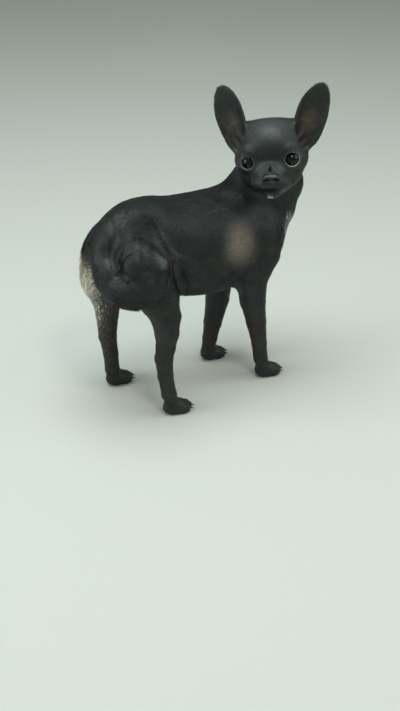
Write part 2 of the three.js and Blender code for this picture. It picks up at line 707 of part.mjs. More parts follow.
const headBox = { low: [-50, -48, -50], high: [52, 48, 40], cells: HEAD_CELLS, inHead: true };
const openings = [...Object.values(EYES).flatMap((eye) => [socket(eye), lidOpening(eye)]), ...mouthCutters];
const bowls = Object.values(EARS).map((ear) => earBowl(ear));
const head = fleshPart(headBox, HEAD_CUT, [noseBed, ...openings, ...bowls]);
const headInflated = solidOf(surfaceOf(fleshForms, headBox, EAR_SEAT));
const seatedBowls = Object.values(EARS).map((ear) => earBowl(ear, EAR_SEAT));
const headClear = seatedBowls.reduce((solid, bowl) => solid.subtract(bowl), headInflated);

// One ear: a curved, cupped leaf with a front face and a back face
function earGeometry(ear) {
  const rows = 12;
  const columns = 8;
  const front = [];
  const back = [];
  for (let i = 0; i <= rows; i += 1) {
    const s = EAR_ROOT + (EAR_HEIGHT - 0.4 - EAR_ROOT) * Math.sin((Math.PI / 2) * (i / rows)) ** 0.9;
    const over = Math.max(s - EAR_SHOULDER, 0) / (EAR_HEIGHT - EAR_SHOULDER);
    const under = Math.max(4 - s, 0) / 20;
    const half = EAR_HALF_WIDTH * Math.sqrt(Math.max(1 - over ** 2.2 - under ** 2, 0.004));
    const shift = 1.6 * Math.min(Math.max(1 - s / 40, 0), 1.4) + 1.8 * Math.max(1 - Math.abs(s - 4) / 22, 0);
    const bulge = ear.innerBulge * Math.sin(Math.PI * Math.min(Math.max((s + 4) / 44, 0), 1));
    const trim = ear.outerTrim * Math.max(1 - Math.abs(s - 2) / 24, 0);
    const cup = Math.min(Math.max(9 - 0.15 * s, 2), 10);
    const halfThickness = Math.min(Math.max(1.15 + 0.9 * (1 - s / 25), 1.15), 2.6);
    const frontRow = [];
    const backRow = [];
    for (let j = 0; j <= columns; j += 1) {
      const across = Math.sin((Math.PI / 2) * ((2 * j) / columns - 1));
      const b = across < 0 ? (half + bulge) * across : (half - trim) * across;
      const lift = cup * (b / EAR_HALF_WIDTH) ** 2 - 4;
      const rim = Math.min(Math.sqrt(Math.max(1 - across ** 2, 0)) * half, 1);
      const tip = Math.sqrt(1 - (i / rows) ** 8);
      const thick = halfThickness * Math.max(rim * tip, 0.16);
      frontRow.push(headPoint(earPoint(ear, s, b + shift, lift + thick)));
      backRow.push(headPoint(earPoint(ear, s, b + shift, lift - thick)));
    }
    front.push(frontRow);
    back.push(backRow);
  }
  return closedLeaf(front, back, ear.side);
}

// Joins the two faces of a leaf round its edge
function closedLeaf(front, back, side) {
  const rows = front.length - 1;
  const columns = front[0].length - 1;
  const position = [];
  const quad = (a, b, c, d) => {
    const order = side > 0 ? [a, b, c, a, c, d] : [a, c, b, a, d, c];
    order.forEach((p) => position.push(...p));
  };
  for (let i = 0; i < rows; i += 1) {
    for (let j = 0; j < columns; j += 1) {
      quad(front[i][j], front[i][j + 1], front[i + 1][j + 1], front[i + 1][j]);
      quad(back[i][j], back[i + 1][j], back[i + 1][j + 1], back[i][j + 1]);
    }
    quad(front[i][0], front[i + 1][0], back[i + 1][0], back[i][0]);
    quad(front[i][columns], back[i][columns], back[i + 1][columns], front[i + 1][columns]);
  }
  for (let j = 0; j < columns; j += 1) {
    quad(front[0][j], back[0][j], back[0][j + 1], front[0][j + 1]);
    quad(front[rows][j], front[rows][j + 1], back[rows][j + 1], back[rows][j]);
  }
  const geometry = new THREE.BufferGeometry();
  geometry.setAttribute('position', new THREE.Float32BufferAttribute(position, 3));
  return mergeVertices(geometry, 1e-3);
}

// The scene graph: body parts in the body frame, eyes in the head's own frame
const dog = new THREE.Group();
const body = new THREE.Group();
dog.add(body);
function addPart(name, geometry, color, roughness) {
  const material = new THREE.MeshStandardMaterial({ color, roughness, metalness: 0 });
  const mesh = new THREE.Mesh(geometry, material);
  mesh.name = name;
  body.add(mesh);
  return mesh;
}

addPart('torso', geometryOf(torso), COAT_BLACK, 0.55);
addPart('neck', geometryOf(neck), COAT_BLACK, 0.55);
addPart('head', geometryOf(head), COAT_BLACK, 0.55);
addPart('tail', geometryOf(tail), COAT_BLACK, 0.6);
addPart('nose', geometryOf(nose), NOSE_BLACK, 0.3);
for (const [name, { box, cut }] of Object.entries(legs)) {
  const cutters = name.startsWith('hind') ? [pawSide, tailCutter] : [pawSide];
  addPart(name, geometryOf(fleshPart({ ...box, cells: LEG_CELLS }, cut, cutters)), COAT_LEG, 0.6);
}
for (const [name, paw] of Object.entries(PAWS)) {
  addPart(name, geometryOf(pawPart(paw)), COAT_LEG, 0.6);
}
for (const [name, ear] of Object.entries(EARS)) {
  const leaf = solidOf(earGeometry(ear)).subtract(headClear);
  addPart(name, geometryOf(largestOf(leaf)), EAR_SKIN, 0.65);
}
const headGroup = new THREE.Group();
headGroup.position.copy(vector(SKULL));
headGroup.quaternion.setFromRotationMatrix(new THREE.Matrix4().makeBasis(...HEAD_AXES.map(vector)));
body.add(headGroup);
for (const [name, { side, centre }] of Object.entries(EYES)) {
  const eye = addPart(name, eyeGeometry(), EYE_BROWN, 0.08);
  eye.position.copy(vector(centre));
  eye.quaternion.setFromUnitVectors(vector(Y_AXIS), vector(eyeDirection(side)));
  headGroup.add(eye);
}

// The origin lies under the middle of the whole dog, on the floor
body.updateMatrixWorld(true);
const whole = new THREE.Box3().setFromObject(body, true);
body.position.set(-(whole.min.x + whole.max.x) / 2, -(whole.min.y + whole.max.y) / 2, -whole.min.z);

export default dog;
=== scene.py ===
import math
import bpy
import numpy as np
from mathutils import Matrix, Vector


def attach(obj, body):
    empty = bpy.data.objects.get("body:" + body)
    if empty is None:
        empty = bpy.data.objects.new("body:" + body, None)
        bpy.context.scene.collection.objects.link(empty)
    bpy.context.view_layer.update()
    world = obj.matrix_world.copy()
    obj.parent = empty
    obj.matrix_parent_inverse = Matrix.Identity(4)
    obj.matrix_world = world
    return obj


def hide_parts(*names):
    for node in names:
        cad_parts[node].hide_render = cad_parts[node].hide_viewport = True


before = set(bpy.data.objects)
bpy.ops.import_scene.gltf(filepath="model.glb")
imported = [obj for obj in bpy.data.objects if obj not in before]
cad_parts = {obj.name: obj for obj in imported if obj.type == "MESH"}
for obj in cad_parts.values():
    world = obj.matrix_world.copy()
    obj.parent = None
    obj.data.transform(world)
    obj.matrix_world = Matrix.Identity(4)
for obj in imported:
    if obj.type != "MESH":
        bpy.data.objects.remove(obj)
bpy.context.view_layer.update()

# Skin
# The whole hide of the dog from muzzle to tail tip, with ears and toes, over flesh that is all one form.
# It is one closed surface, and it lies inside the solids by the depth of the coat that grows on it.
# Sizes are millimetres on the dog's own axes: +X the way the body faces, +Y its left, +Z up from the floor.
FRAME_ORIGIN = np.array((6.64, -3.85, 0.0))  # where the shared frame starts on these axes
SIDES = (-1, 1)  # right, left


def unit(v):
    v = np.asarray(v, float)
    return v / np.linalg.norm(v)


def unit_rows(v):
    return v / np.maximum(np.linalg.norm(v, axis=-1, keepdims=True), 1e-9)


def lengths(v):
    return np.linalg.norm(v, axis=1)


def smooth_step(value, low, high):
    t = np.clip((value - low) / (high - low), 0, 1)
    return t * t * (3 - 2 * t)


def fade(value, low, high):
    return 1 - smooth_step(value, low, high)


# The head's own axes: forward out of the face, left, up
SKULL = np.array((70.5, -24.3, 229.1))
turn, lift, roll = np.radians((-129.2, 2.0, 5.5))
FACE = np.array((math.cos(turn) * math.cos(lift), math.sin(turn) * math.cos(lift), math.sin(lift)))
level_left = np.array((-math.sin(turn), math.cos(turn), 0.0))
LEFT = math.cos(roll) * level_left + math.sin(roll) * np.cross(FACE, level_left)
HEAD = np.array((FACE, LEFT, np.cross(FACE, LEFT)))


def head_point(v):
    return SKULL + np.asarray(v, float) @ HEAD


# A form is a distance, the box that it fills, how softly it blends in, and whether it is carved out
def blend_min(a, b, width):
    overlap = np.maximum(width - np.abs(a - b), 0) / width
    return np.minimum(a, b) - overlap * overlap * width * 0.25


def blend_max(a, b, width):
    return -blend_min(-a, -b, width)


def form(distance, low, high, blend, carve=False):
    return distance, np.array(low, float), np.array(high, float), blend, carve


def nearest_on(start, end, points, squeeze=np.eye(3)):
    """How far along a length each point lies, and how far away from it."""
    axis = (end[:3] - start[:3]) @ squeeze
    offset = (points - start[:3]) @ squeeze
    t = np.clip(offset @ axis / (axis @ axis), 0, 1)
    return t, lengths(offset - t[:, None] * axis)


def chain(points, blend, outward=None, flatness=1.0, joint=1.5, carve=False):
    """Tapered round lengths end to end: x, y, z, radius. Outward directions flatten the section."""
    points = np.array(points, float)
    links = []
    for i in range(len(points) - 1):
        squeeze = np.eye(3)
        if outward is not None:
            normal = unit(unit(outward[i]) + unit(outward[i + 1]))
            squeeze = squeeze + np.outer(normal, normal) * (1 / flatness - 1)
        links.append((points[i], points[i + 1], squeeze))

    def distance(p):
        nearest = None
        for start, end, squeeze in links:
            t, away = nearest_on(start, end, p, squeeze)
            reach = (away - (start[3] + (end[3] - start[3]) * t)) * flatness
            nearest = reach if nearest is None else blend_min(nearest, reach, joint)
        return nearest

    reach = points[:, 3].max()
    return form(distance, points[:, :3].min(0) - reach, points[:, :3].max(0) + reach, blend, carve)


def ball(centre, radii, blend, axes=np.eye(3), carve=False):
    """An ellipsoid on its own axes."""
    centre, radii = np.array(centre, float), np.array(radii, float)
    axes = np.array([unit(a) for a in axes])

    def distance(p):
        q = (p - centre) @ axes.T
        scale = lengths(q / radii)
        return scale * (scale - 1) / (lengths(q / radii**2) + 1e-9)

    return form(distance, centre - radii.max(), centre + radii.max(), blend, carve)


def head_ball(centre, radii, blend, carve=False, axes=np.eye(3)):
    return ball(head_point(centre), radii, blend, np.asarray(axes) @ HEAD, carve)


def head_chain(points, blend, carve=False):
    return chain([(*head_point(p[:3]), p[3]) for p in points], blend, carve=carve)


def distance_to(forms, points, start=None):
    """Distance to a set of forms, each read only near its own box."""
    result = np.full(len(points), 60.0) if start is None else start.copy()
    for distance, low, high, blend, carve in forms:
        near = np.flatnonzero(((points > low - blend - 3) & (points < high + blend + 3)).all(1))
        if len(near):
            before, here = result[near], distance(points[near])
            result[near] = blend_max(before, -here, blend) if carve else blend_min(before, here, blend)
    return result


def slope_of(distance, points, probe=0.25):
    steps = np.eye(3) * probe
    return np.stack([distance(points + e) - distance(points - e) for e in steps], 1) / (2 * probe)


# Trunk stations: how far along, height of back, height of belly, half width
TRUNK = np.array((
    (-94, 170, 148, 13), (-86, 182, 140, 22), (-74, 191, 132, 29), (-58, 197.5, 123, 34),
    (-38, 198.5, 111, 36), (-15, 194, 101, 39), (10, 192, 96, 41), (38, 191, 96, 40),
    (62, 185, 98, 37), (84, 175, 109, 28.5), (97, 162, 120, 19.5), (106, 150, 129, 10),
), float)


def station(column, x):
    """A smooth curve through one column of the trunk's stations."""
    xs, ys = TRUNK[:, 0], TRUNK[:, column]
    after = np.minimum(np.arange(len(xs)) + 1, len(xs) - 1)
    before = np.maximum(np.arange(len(xs)) - 1, 0)
    slopes = (ys[after] - ys[before]) / (xs[after] - xs[before])
    i = np.clip(np.searchsorted(xs, x) - 1, 0, len(xs) - 2)
    step = xs[i + 1] - xs[i]
    t = np.clip((x - xs[i]) / step, 0, 1)
    return ((2 * t**3 - 3 * t**2 + 1) * ys[i] + (t**3 - 2 * t**2 + t) * step * slopes[i]
            + (3 * t**2 - 2 * t**3) * ys[i + 1] + (t**3 - t**2) * step * slopes[i + 1])


def trunk_distance(p):
    x = np.clip(p[:, 0], TRUNK[0, 0], TRUNK[-1, 0])
    top, bottom, half_width = (station(column, x) for column in (1, 2, 3))
    middle, half_height = (top + bottom) / 2, (top - bottom) / 2
    up = (p[:, 2] - middle) / half_height
    half = half_width * (1 + 0.1 * np.clip(up, -1.2, 1.2))
    scale = (np.abs(p[:, 1] / half) ** 2.2 + np.abs(up) ** 2.2) ** (1 / 2.2)
    slope = np.hypot(p[:, 1] / half**2, up / half_height) / (scale + 1e-9) + 1e-9
    section = np.minimum((scale - 1) / slope, 60)
    return blend_max(blend_max(section, p[:, 0] - 102, 22), -88 - p[:, 0], 18)


# Limbs from hip or shoulder down to the pastern, and the neck: x, y, z, radius
HIND_RIGHT = (
    (-61, -20, 156, 24), (-60, -27, 140, 25), (-54, -34, 121, 18.5), (-49, -37, 103, 14),
    (-48, -37, 86, 11.3), (-49, -36.5, 72, 9.2), (-51, -36, 60, 8.6), (-50, -36.5, 42, 7.4),
    (-47, -37, 22, 7), (-44, -37, 12, 6.5),
)
HIND_LEFT = (
    (-61, 20, 156, 24), (-63, 27, 138, 25), (-65, 37, 118, 20.5), (-65.5, 41, 98, 15.5),
    (-67, 40, 78, 11.3), (-69, 37.5, 55, 8.8), (-67, 37, 36, 7.5), (-66, 37, 18, 7), (-65, 37, 11, 6.5),
)
FORE_RIGHT = (
    (64, -22, 150, 20), (58, -27, 134, 20), (45.5, -34, 113, 15.3), (48.5, -33, 90, 12.3),
    (54, -32, 66, 9.8), (60, -30, 40, 7.6), (63, -29, 22, 6.9), (66, -29, 11, 6.5),
)
FORE_LEFT = (
    (64, 22, 150, 20), (60, 27, 134, 20), (55, 33, 112, 16), (54.5, 32, 88, 14.2), (52, 31, 64, 12),
    (46, 30, 40, 9.4), (42, 29, 24, 7.5), (39, 28, 11, 6.6),
)
THROAT = ((60, 0, 156, 27), (84, -1, 171, 28), (91, -6, 190, 25), (86, -10, 208, 23.5))
NAPE = ((44, 0, 172.5, 20), (64, -7, 196.5, 20), (76, -14, 215, 21))

# Paws: place on the floor and the way each points, in degrees, with the same four toes
PAWS = {
    "hind_right": (-41, -37.5, -4),
    "hind_left": (-61, 37, 6),
    "fore_right": (70, -29, -2),
    "fore_left": (43, 28, 4),
}
TOES = ((6.5, -6.3), (9.8, -2.3), (9.8, 2.3), (6.5, 6.3))


def paw_frame(paw):
    x, y, yaw = PAWS[paw]
    c, s = math.cos(math.radians(yaw)), math.sin(math.radians(yaw))
    return np.array((x, y, 0.0)), np.array(((c, s, 0), (-s, c, 0), (0, 0, 1.0)))


def paw_forms(paw):
    place, axes = paw_frame(paw)
    toes = [ball(place + np.array((f, l, 4.6)) @ axes, (6.4, 3.2, 5), 1.2, axes) for f, l in TOES]
    return [ball(place + (0, 0, 6.5), (12, 8.6, 7.5), 4, axes), *toes]


# The tail hangs from the croup, comes round the right buttock and coils up on the thigh
TAIL = (
    (-76, 0, 183, 12), (-85, 0, 175, 13.5), (-91, -1, 164, 13.8), (-92.5, -5.5, 153.8, 14.4),
    (-94, -14.5, 146, 14.8), (-93, -18.5, 140, 15), (-90.5, -25, 135.5, 15), (-88.5, -33, 134.5, 14.8),
    (-84.5, -40, 134.2, 14.2), (-78.5, -45, 136.4, 13.2), (-71.4, -48.2, 140.6, 11.8),
    (-66, -48.5, 146.3, 10.6), (-63.7, -47.3, 153.1, 9.8), (-67.3, -46.3, 160.5, 9.2),
    (-74, -44.8, 164.8, 8.5), (-79.8, -43.1, 162.9, 7.6), (-81.8, -42, 157, 6.6),
)
TAIL_OUTWARD = (
    (-0.6, 0, 0.8), (-0.85, -0.1, 0.5), (-0.95, -0.15, 0.2), (-0.97, -0.1, -0.05),
    (-0.95, -0.2, -0.12), (-0.93, -0.25, -0.22), (-0.9, -0.35, -0.25), (-0.8, -0.5, -0.28),
    (-0.72, -0.62, -0.28), (-0.62, -0.75, -0.15), (-0.45, -0.88, 0), (-0.28, -0.92, 0.2),
    (-0.2, -0.9, 0.35), (-0.25, -0.9, 0.35), (-0.35, -0.87, 0.33), (-0.42, -0.85, 0.3), (-0.5, -0.82, 0.25),
)
tail_form = chain(TAIL, 3, TAIL_OUTWARD, 0.6, joint=2)

# Ears in the head's axes: the way up the leaf, its base, and how far its inner edge bulges and its outer
# edge is trimmed
EAR_HALF_WIDTH, EAR_SHOULDER, EAR_HEIGHT, EAR_TURN = 14.6, 11, 45, math.radians(18)
EARS = {
    -1: ((-0.06, -0.346, 0.938), (-5, -27.4, 14), 0.5, 3.2),
    1: ((-0.06, 0.477, 0.879), (-5, 27.6, 12.8), 2.5, 1.8),
}


def ear_axes(side):
    """Up the leaf, outward across it, and the way its cup faces."""
    up = unit(EARS[side][0])
    facing = np.array((math.cos(EAR_TURN), side * math.sin(EAR_TURN), 0))
    front = unit(facing - up * (facing @ up))
    across = np.cross(front, up)
    return np.array((up, across * side * np.sign(across[1]), front))


def ear_place(side, points):
    """Points in one ear's terms: up from its base, outward, and towards the cup's mouth."""
    return (points - head_point(EARS[side][1])) @ (ear_axes(side) @ HEAD).T


def ear_leaf(side):
    """A cupped leaf, wide at the shoulder and drawn in to the tip."""

    def distance(p):
        s, b, c = ear_place(side, p).T
        b = b - 1.6 * np.clip(1 - s / 40, 0, 1.4) - 1.8 * np.clip(1 - np.abs(s - 4) / 22, 0, 1)
        inner = EAR_HALF_WIDTH + EARS[side][2] * np.sin(np.pi * np.clip((s + 4) / 44, 0, 1))
        outer = EAR_HALF_WIDTH - EARS[side][3] * np.clip(1 - np.abs(s - 2) / 24, 0, 1)
        across = np.where(b < 0, b / inner, b / outer)
        cup = np.clip(9 - 0.15 * s, 2, 10)
        middle = cup * (b / EAR_HALF_WIDTH) ** 2 - 4
        half_thickness = np.clip(1.1 + 0.9 * (1 - s / 25), 1.1, 2.6)
        face = np.abs(c - middle) / np.sqrt(1 + (2 * cup * b / EAR_HALF_WIDTH**2) ** 2) - half_thickness
        over = np.maximum(s - EAR_SHOULDER, 0) / (EAR_HEIGHT - EAR_SHOULDER)
        under = np.maximum(4 - s, 0) / 20
        rim = (np.sqrt(across**2 + over**2.2 + under**2 + 1e-9) - 1) * 11
        return blend_max(face, rim, 1.8)

    base = head_point(EARS[side][1])
    return form(distance, base - 52, base + 52, 3)


def ear_point(side, v):
    return np.array(EARS[side][1]) + np.asarray(v, float) @ ear_axes(side)


# Flesh of the whole dog
flesh = [
    form(trunk_distance, (-110, -50, 80), (116, 50, 205), 10),
    *(chain(leg, 9) for leg in (HIND_RIGHT, HIND_LEFT)),
    ball((-79, 35, 121), (11, 13, 20), 8),
    *(chain(leg, 9) for leg in (FORE_RIGHT, FORE_LEFT)),
    chain(THROAT, 12),
    chain(NAPE, 10),
    *(f for paw in PAWS for f in paw_forms(paw)),
    ball((-74, -24, 150), (18, 15, 22), 8),
    ball((-74, 26, 148), (20, 15, 24), 8),
]

# Soft folds, drawn for the right side: x, y, z, and how high the fold stands or how deep it sinks.
# All but the flat of the thigh over the tail are on both sides, the edge a little lower on the left.
THIGH_EDGE = (
    (-60, -12.5, 195.4, -2.2), (-56.6, -16.7, 194.7, 0.2), (-51.9, -22.7, 191.9, 0.7),
    (-50.2, -29.3, 185.4, 0.8), (-48.8, -33.5, 178.7, 0.7), (-47.7, -37.3, 170.7, 0.7),
    (-46.2, -39.3, 163.1, 0.7), (-44.6, -41.2, 155.6, 0.7), (-42.5, -44, 147, 0),
)
LEFT_EDGE_START = 3
FLANK_WEB = ((-47, -39, 161, 0.5), (-40, -41.5, 157, 1.4), (-32, -42, 151, 1.2), (-22, -41, 143, 0))
CREASE = (
    (-39.5, -40.5, 149, 0.5), (-37.5, -40, 143.5, 3), (-31, -33.5, 131, 5), (-25, -28.5, 120, 6),
    (-20, -24, 112, 5),
)
ELBOW_HOLLOW = ((4, -40, 142, -1), (12, -39, 131, 0.5), (20, -35, 119, 1), (28, -28, 108, 0))
THIGH_PLANE = (
    (-68.6, -16.1, 190.7, -1), (-64.7, -22.7, 188.6, 1), (-61.8, -29.1, 183.8, 1.2),
    (-60.5, -34.8, 177.4, 0.5), (-60.7, -39.7, 170.1, -1),
)


def fold(line, side, radius, blend, carve=False):
    """A ridge or a groove with a round section, along a line on the body of one side."""
    line = np.array(line, float) * (1, -side, 1, 1)
    normals = unit_rows(slope_of(lambda p: distance_to(body, p), line[:, :3]))
    outward = (radius - line[:, 3]) * (1 if carve else -1) - distance_to(body, line[:, :3])
    places = line[:, :3] + normals * outward[:, None]
    return chain(np.column_stack((places, np.full(len(line), radius))), blend, carve=carve)


body = list(flesh)
folds = []
for side in SIDES:
    folds += [
        fold(THIGH_EDGE if side < 0 else THIGH_EDGE[LEFT_EDGE_START:], side, 2.2, 2.5),
        fold(FLANK_WEB, side, 6, 5),
        fold(CREASE, side, 6.5, 4, carve=True),
        fold(ELBOW_HOLLOW, side, 7.6, 5, carve=True),
    ]

# The coil of the tail lies tight on the thigh: the hair fills the gap over it and under its tip, and leaves
# one dark crescent open behind the tip
COIL_SHOULDER = (
    (-79.8, -29.3, 169.9, 1), (-71.6, -34.1, 173.4, 2.5), (-64.7, -38.9, 170.8, 2),
    (-58.2, -41.8, 165.7, 1), (-54.3, -46.6, 155.5, 0.5),
)
COIL_FILL = (
    (-81, -36, 158, 6.5), (-79, -39.5, 162, 7), (-74, -42, 164, 7), (-67, -44, 162.5, 7.5),
    (-61, -46, 157, 7),
)
CRESCENT = (
    (-82, -29.3, 173, 1), (-86, -31, 167.2, 2), (-87.5, -32.5, 160.5, 3), (-84.5, -35, 155.5, 4),
    (-84.5, -40, 153, 3.2), (-85.5, -44.5, 151.5, 1.2),
)
folds += [
    fold(THIGH_PLANE, -1, 18, 8, carve=True),
    fold(COIL_SHOULDER, -1, 7, 6),
    chain(COIL_FILL, 9),
    ball((-77, -42, 151), (7, 7, 7), 6),
    chain(CRESCENT, 1.5, carve=True),
]

# The tail, and the head from the skull to the chin: brain case, temples, cheeks, muzzle, lips and jaw
flesh += [
    tail_form,
    head_ball((-3, 0, 1.5), (31, 29.5, 25.2), 8),
    head_ball((8, 0, 8), (19, 22, 17.5), 8),
    head_ball((6, 0, -14), (22, 24, 15), 8),
]
for side in SIDES:
    flesh += [
        head_ball((-5, side * 15, 8.5), (20, 15, 14.5), 8),
        head_ball((5, side * 20.5, -6), (15, 12, 13.5), 6),
        head_ball((7, side * 14.5, -20), (14, 11, 11), 6),
        head_ball((17, side * 14.5, 5.5), (8, 9, 6.5), 5),
    ]
flesh += [
    head_chain(((14, 0, -9, 10), (30, 0, -11.5, 7.6), (38.5, 0, -13, 5.6)), 4),
    head_ball((26, 0, -19), (16, 15.5, 9.5), 6),
]
for side in SIDES:
    flesh += [
        head_ball((35.5, side * 6.2, -18.6), (7.4, 7.8, 6), 3),
        head_ball((29, side * 11.5, -20), (9, 5.5, 6), 4),
        head_chain(((8, side * 8, -27, 9), (30, side * 2.5, -28.2, 5.6)), 4),
    ]
flesh += [head_ball((31.5, 0, -28.5), (7, 7.5, 5.2), 3)]
flesh += [head_ball((-8, side * 25.5, 9.5), (12, 11.5, 14), 7) for side in SIDES]

# Ears with their bowls and inner folds, lids round the eyes, and the line of the mouth
EAR_FOLDS = (
    ((-13, 4, 1, 2), (-4, 8, -0.6, 1.5), (8, 9.5, -1, 0.8)),
    ((-11, -2, 1, 2), (-1, 1.5, -1.6, 1.3), (10, 2, -2.4, 0.7)),
)
EYE_RADIUS, LID_THICKNESS = 8.8, 1.3
EYES = {-1: np.array((15.6, -18.3, -5.2)), 1: np.array((15.6, 17.1, -4.2))}
GAZE = {side: unit((0.93, 0.26 * side, 0.14)) for side in SIDES}
LID_OPENING = {-1: np.array((7, 6.35, 5.8)), 1: np.array((7, 7, 6.5))}
MOUTH_LINE = (
    (43.2, 0, -22, 0.9), (41.8, 4, -23.4, 1.1), (38.5, 9, -24.6, 1.1),
    (32, 13.2, -24.9, 1), (24, 16.3, -24, 0.8), (18, 18.0, -22.8, 0.4),
)


def eye_axes(side):
    """Out along the gaze, across and up, in the head's axes."""
    across = unit(np.cross((0, 0, 1), GAZE[side]))
    return np.array((GAZE[side], across, np.cross(GAZE[side], across)))


ears = [ear_leaf(side) for side in SIDES]
details = []
for side, leaf in zip(SIDES, ears):
    details += [head_ball(ear_point(side, (3, 2, 9.5)), (20, 13, 12.8), 2, True, ear_axes(side)), leaf]
    details += [head_chain([(*ear_point(side, v[:3]), v[3]) for v in line], 2) for line in EAR_FOLDS]
for side in SIDES:
    details += [
        head_ball(EYES[side], (EYE_RADIUS + LID_THICKNESS,) * 3, 3),
        head_ball(EYES[side] + GAZE[side] * EYE_RADIUS, LID_OPENING[side], 0.8, True, eye_axes(side)),
        head_ball(EYES[side], (EYE_RADIUS,) * 3, 0.5, True),
    ]
details += [head_chain([(f, l * side, u, r) for f, l, u, r in MOUTH_LINE], 1.2, True) for side in SIDES]
# The cleft of the upper lip, and the small dark furrow over the nose, widest at its foot
details += [
    head_chain(((45, 0, -15, 0.7), (44, 0, -22, 0.7)), 0.8, True),
    head_chain(((33.5, 0, -5.2, 0.6), (36, 0, -6.5, 1.2), (38.4, 0, -7.3, 1.6)), 0.6, True),
]

# How deep the coat lies, and the distances from the head's middle and from the floor over which it deepens
COAT_DEPTH_BODY, COAT_DEPTH_FINE = 0.6, 0.3
FINE_ON_HEAD, FINE_ON_FEET = (38, 55), (14, 40)


def skin_distance(points):
    """The skin lies deepest under the coat of the body, and hardly at all on the face and the feet."""
    fine = fade(lengths(points - SKULL), *FINE_ON_HEAD)
    fine = np.maximum(fine, fade(points[:, 2], *FINE_ON_FEET))
    depth = COAT_DEPTH_BODY + (COAT_DEPTH_FINE - COAT_DEPTH_BODY) * fine
    value = distance_to(folds, points, distance_to(flesh, points)) + depth
    return blend_max(distance_to(details, points, value), -points[:, 2], 0.6)


# The skin is drawn on a grid, fine through the head and the right thigh and coarser elsewhere, which is
# searched for the surface in blocks of cells first
BLOCK = 4
CORNERS = [(i, j, k) for i in (0, 1) for j in (0, 1) for k in (0, 1)]


def grid_lines(low, high, cell_at):
    lines = [low]
    while lines[-1] < high or (len(lines) - 1) % BLOCK:
        lines.append(lines[-1] + cell_at(lines[-1]))
    return np.array(lines)


def at_corner(grid, corner):
    """The nodes of a grid that are one given corner of its cells."""
    return grid[tuple(slice(c, n - 1 + c) for c, n in zip(corner, grid.shape))]


def cells_of(blocks):
    return blocks.repeat(BLOCK, 0).repeat(BLOCK, 1).repeat(BLOCK, 2)


def sample_field(distance, lines):
    """The distance at every node near the surface, and only its side elsewhere."""
    coarse = [line[::BLOCK] for line in lines]
    at = np.stack(np.meshgrid(*coarse, indexing="ij"), -1)
    blocks = distance(at.reshape(-1, 3)).reshape(at.shape[:3])
    values = [at_corner(blocks, corner) for corner in CORNERS]
    least, most = np.min(values, 0), np.max(values, 0)
    size = [np.diff(line) for line in coarse]
    reach = np.sqrt(size[0][:, None, None] ** 2 + size[1][None, :, None] ** 2 + size[2][None, None, :] ** 2)
    cells = cells_of((least < reach * 0.8) & (most > -reach * 0.8))
    wanted = np.zeros([len(line) for line in lines], bool)
    for corner in CORNERS:
        nodes = at_corner(wanted, corner)
        nodes |= cells
    inside = np.zeros(wanted.shape, bool)
    inside[:-1, :-1, :-1] = cells_of(most < 0)
    field = np.where(inside, -9.0, 9.0)
    index = np.argwhere(wanted)
    places = np.stack([line[index[:, n]] for n, line in enumerate(lines)], 1)
    parts = np.array_split(places, 1 + len(places) // 300000)
    field[wanted] = np.concatenate([distance(part) for part in parts])
    return field


def surface_nets(field, lines):
    """One vertex in each crossed cell, and one quad for each crossed edge."""
    inside = field < 0
    shape = field.shape
    count = sum(at_corner(inside, corner).astype(np.uint8) for corner in CORNERS)
    crossed = (count > 0) & (count < 8)
    cells = np.argwhere(crossed)
    number = np.full(crossed.shape, -1)
    number[crossed] = np.arange(len(cells))
    total, hits = np.zeros((len(cells), 3)), np.zeros(len(cells))
    for a in CORNERS:
        for axis in range(3):
            if a[axis] == 0:
                b = tuple(1 if n == axis else a[n] for n in range(3))
                start, end = (field[tuple((cells + c).T)] for c in (a, b))
                here = (start < 0) != (end < 0)
                point = np.repeat([a], len(cells), 0).astype(float)
                point[:, axis] += np.where(here, start / np.where(here, start - end, 1), 0)
                total[here] += point[here]
                hits[here] += 1
    part = total / hits[:, None]
    places = [lines[n][cells[:, n]] + part[:, n] * np.diff(lines[n])[cells[:, n]] for n in range(3)]
    quads = []
    for axis in range(3):
        u, v = (axis + 1) % 3, (axis + 2) % 3
        before, after = [slice(None)] * 3, [slice(None)] * 3
        before[axis], after[axis] = slice(0, -1), slice(1, None)
        first, second = inside[tuple(before)], inside[tuple(after)]
        cross = np.argwhere(first != second)
        sides = cross[:, (u, v)]
        cross = cross[((sides > 0) & (sides < (shape[u] - 1, shape[v] - 1))).all(1)]

        def cell_at(back_u, back_v):
            q = cross.copy()
            q[:, u] -= back_u
            q[:, v] -= back_v
            return number[tuple(q.T)]

        quad = np.stack([cell_at(1, 1), cell_at(0, 1), cell_at(0, 0), cell_at(1, 0)], 1)
        flip = ~first[tuple(cross.T)]
        quad[flip] = quad[flip][:, ::-1]
        quads.append(quad)
    return np.stack(places, 1), np.concatenate(quads)


def settle(distance, points, longest=0.5, passes=3):
    """Draws points on to the surface along the slope of the distance."""
    for _ in range(passes):
        slope = slope_of(distance, points)
        step = -(distance(points) / ((slope**2).sum(1) + 1e-6))[:, None] * slope
        points = points + step * np.minimum(1, longest / np.maximum(lengths(step), 1e-9))[:, None]
    return points


scene = bpy.context.scene


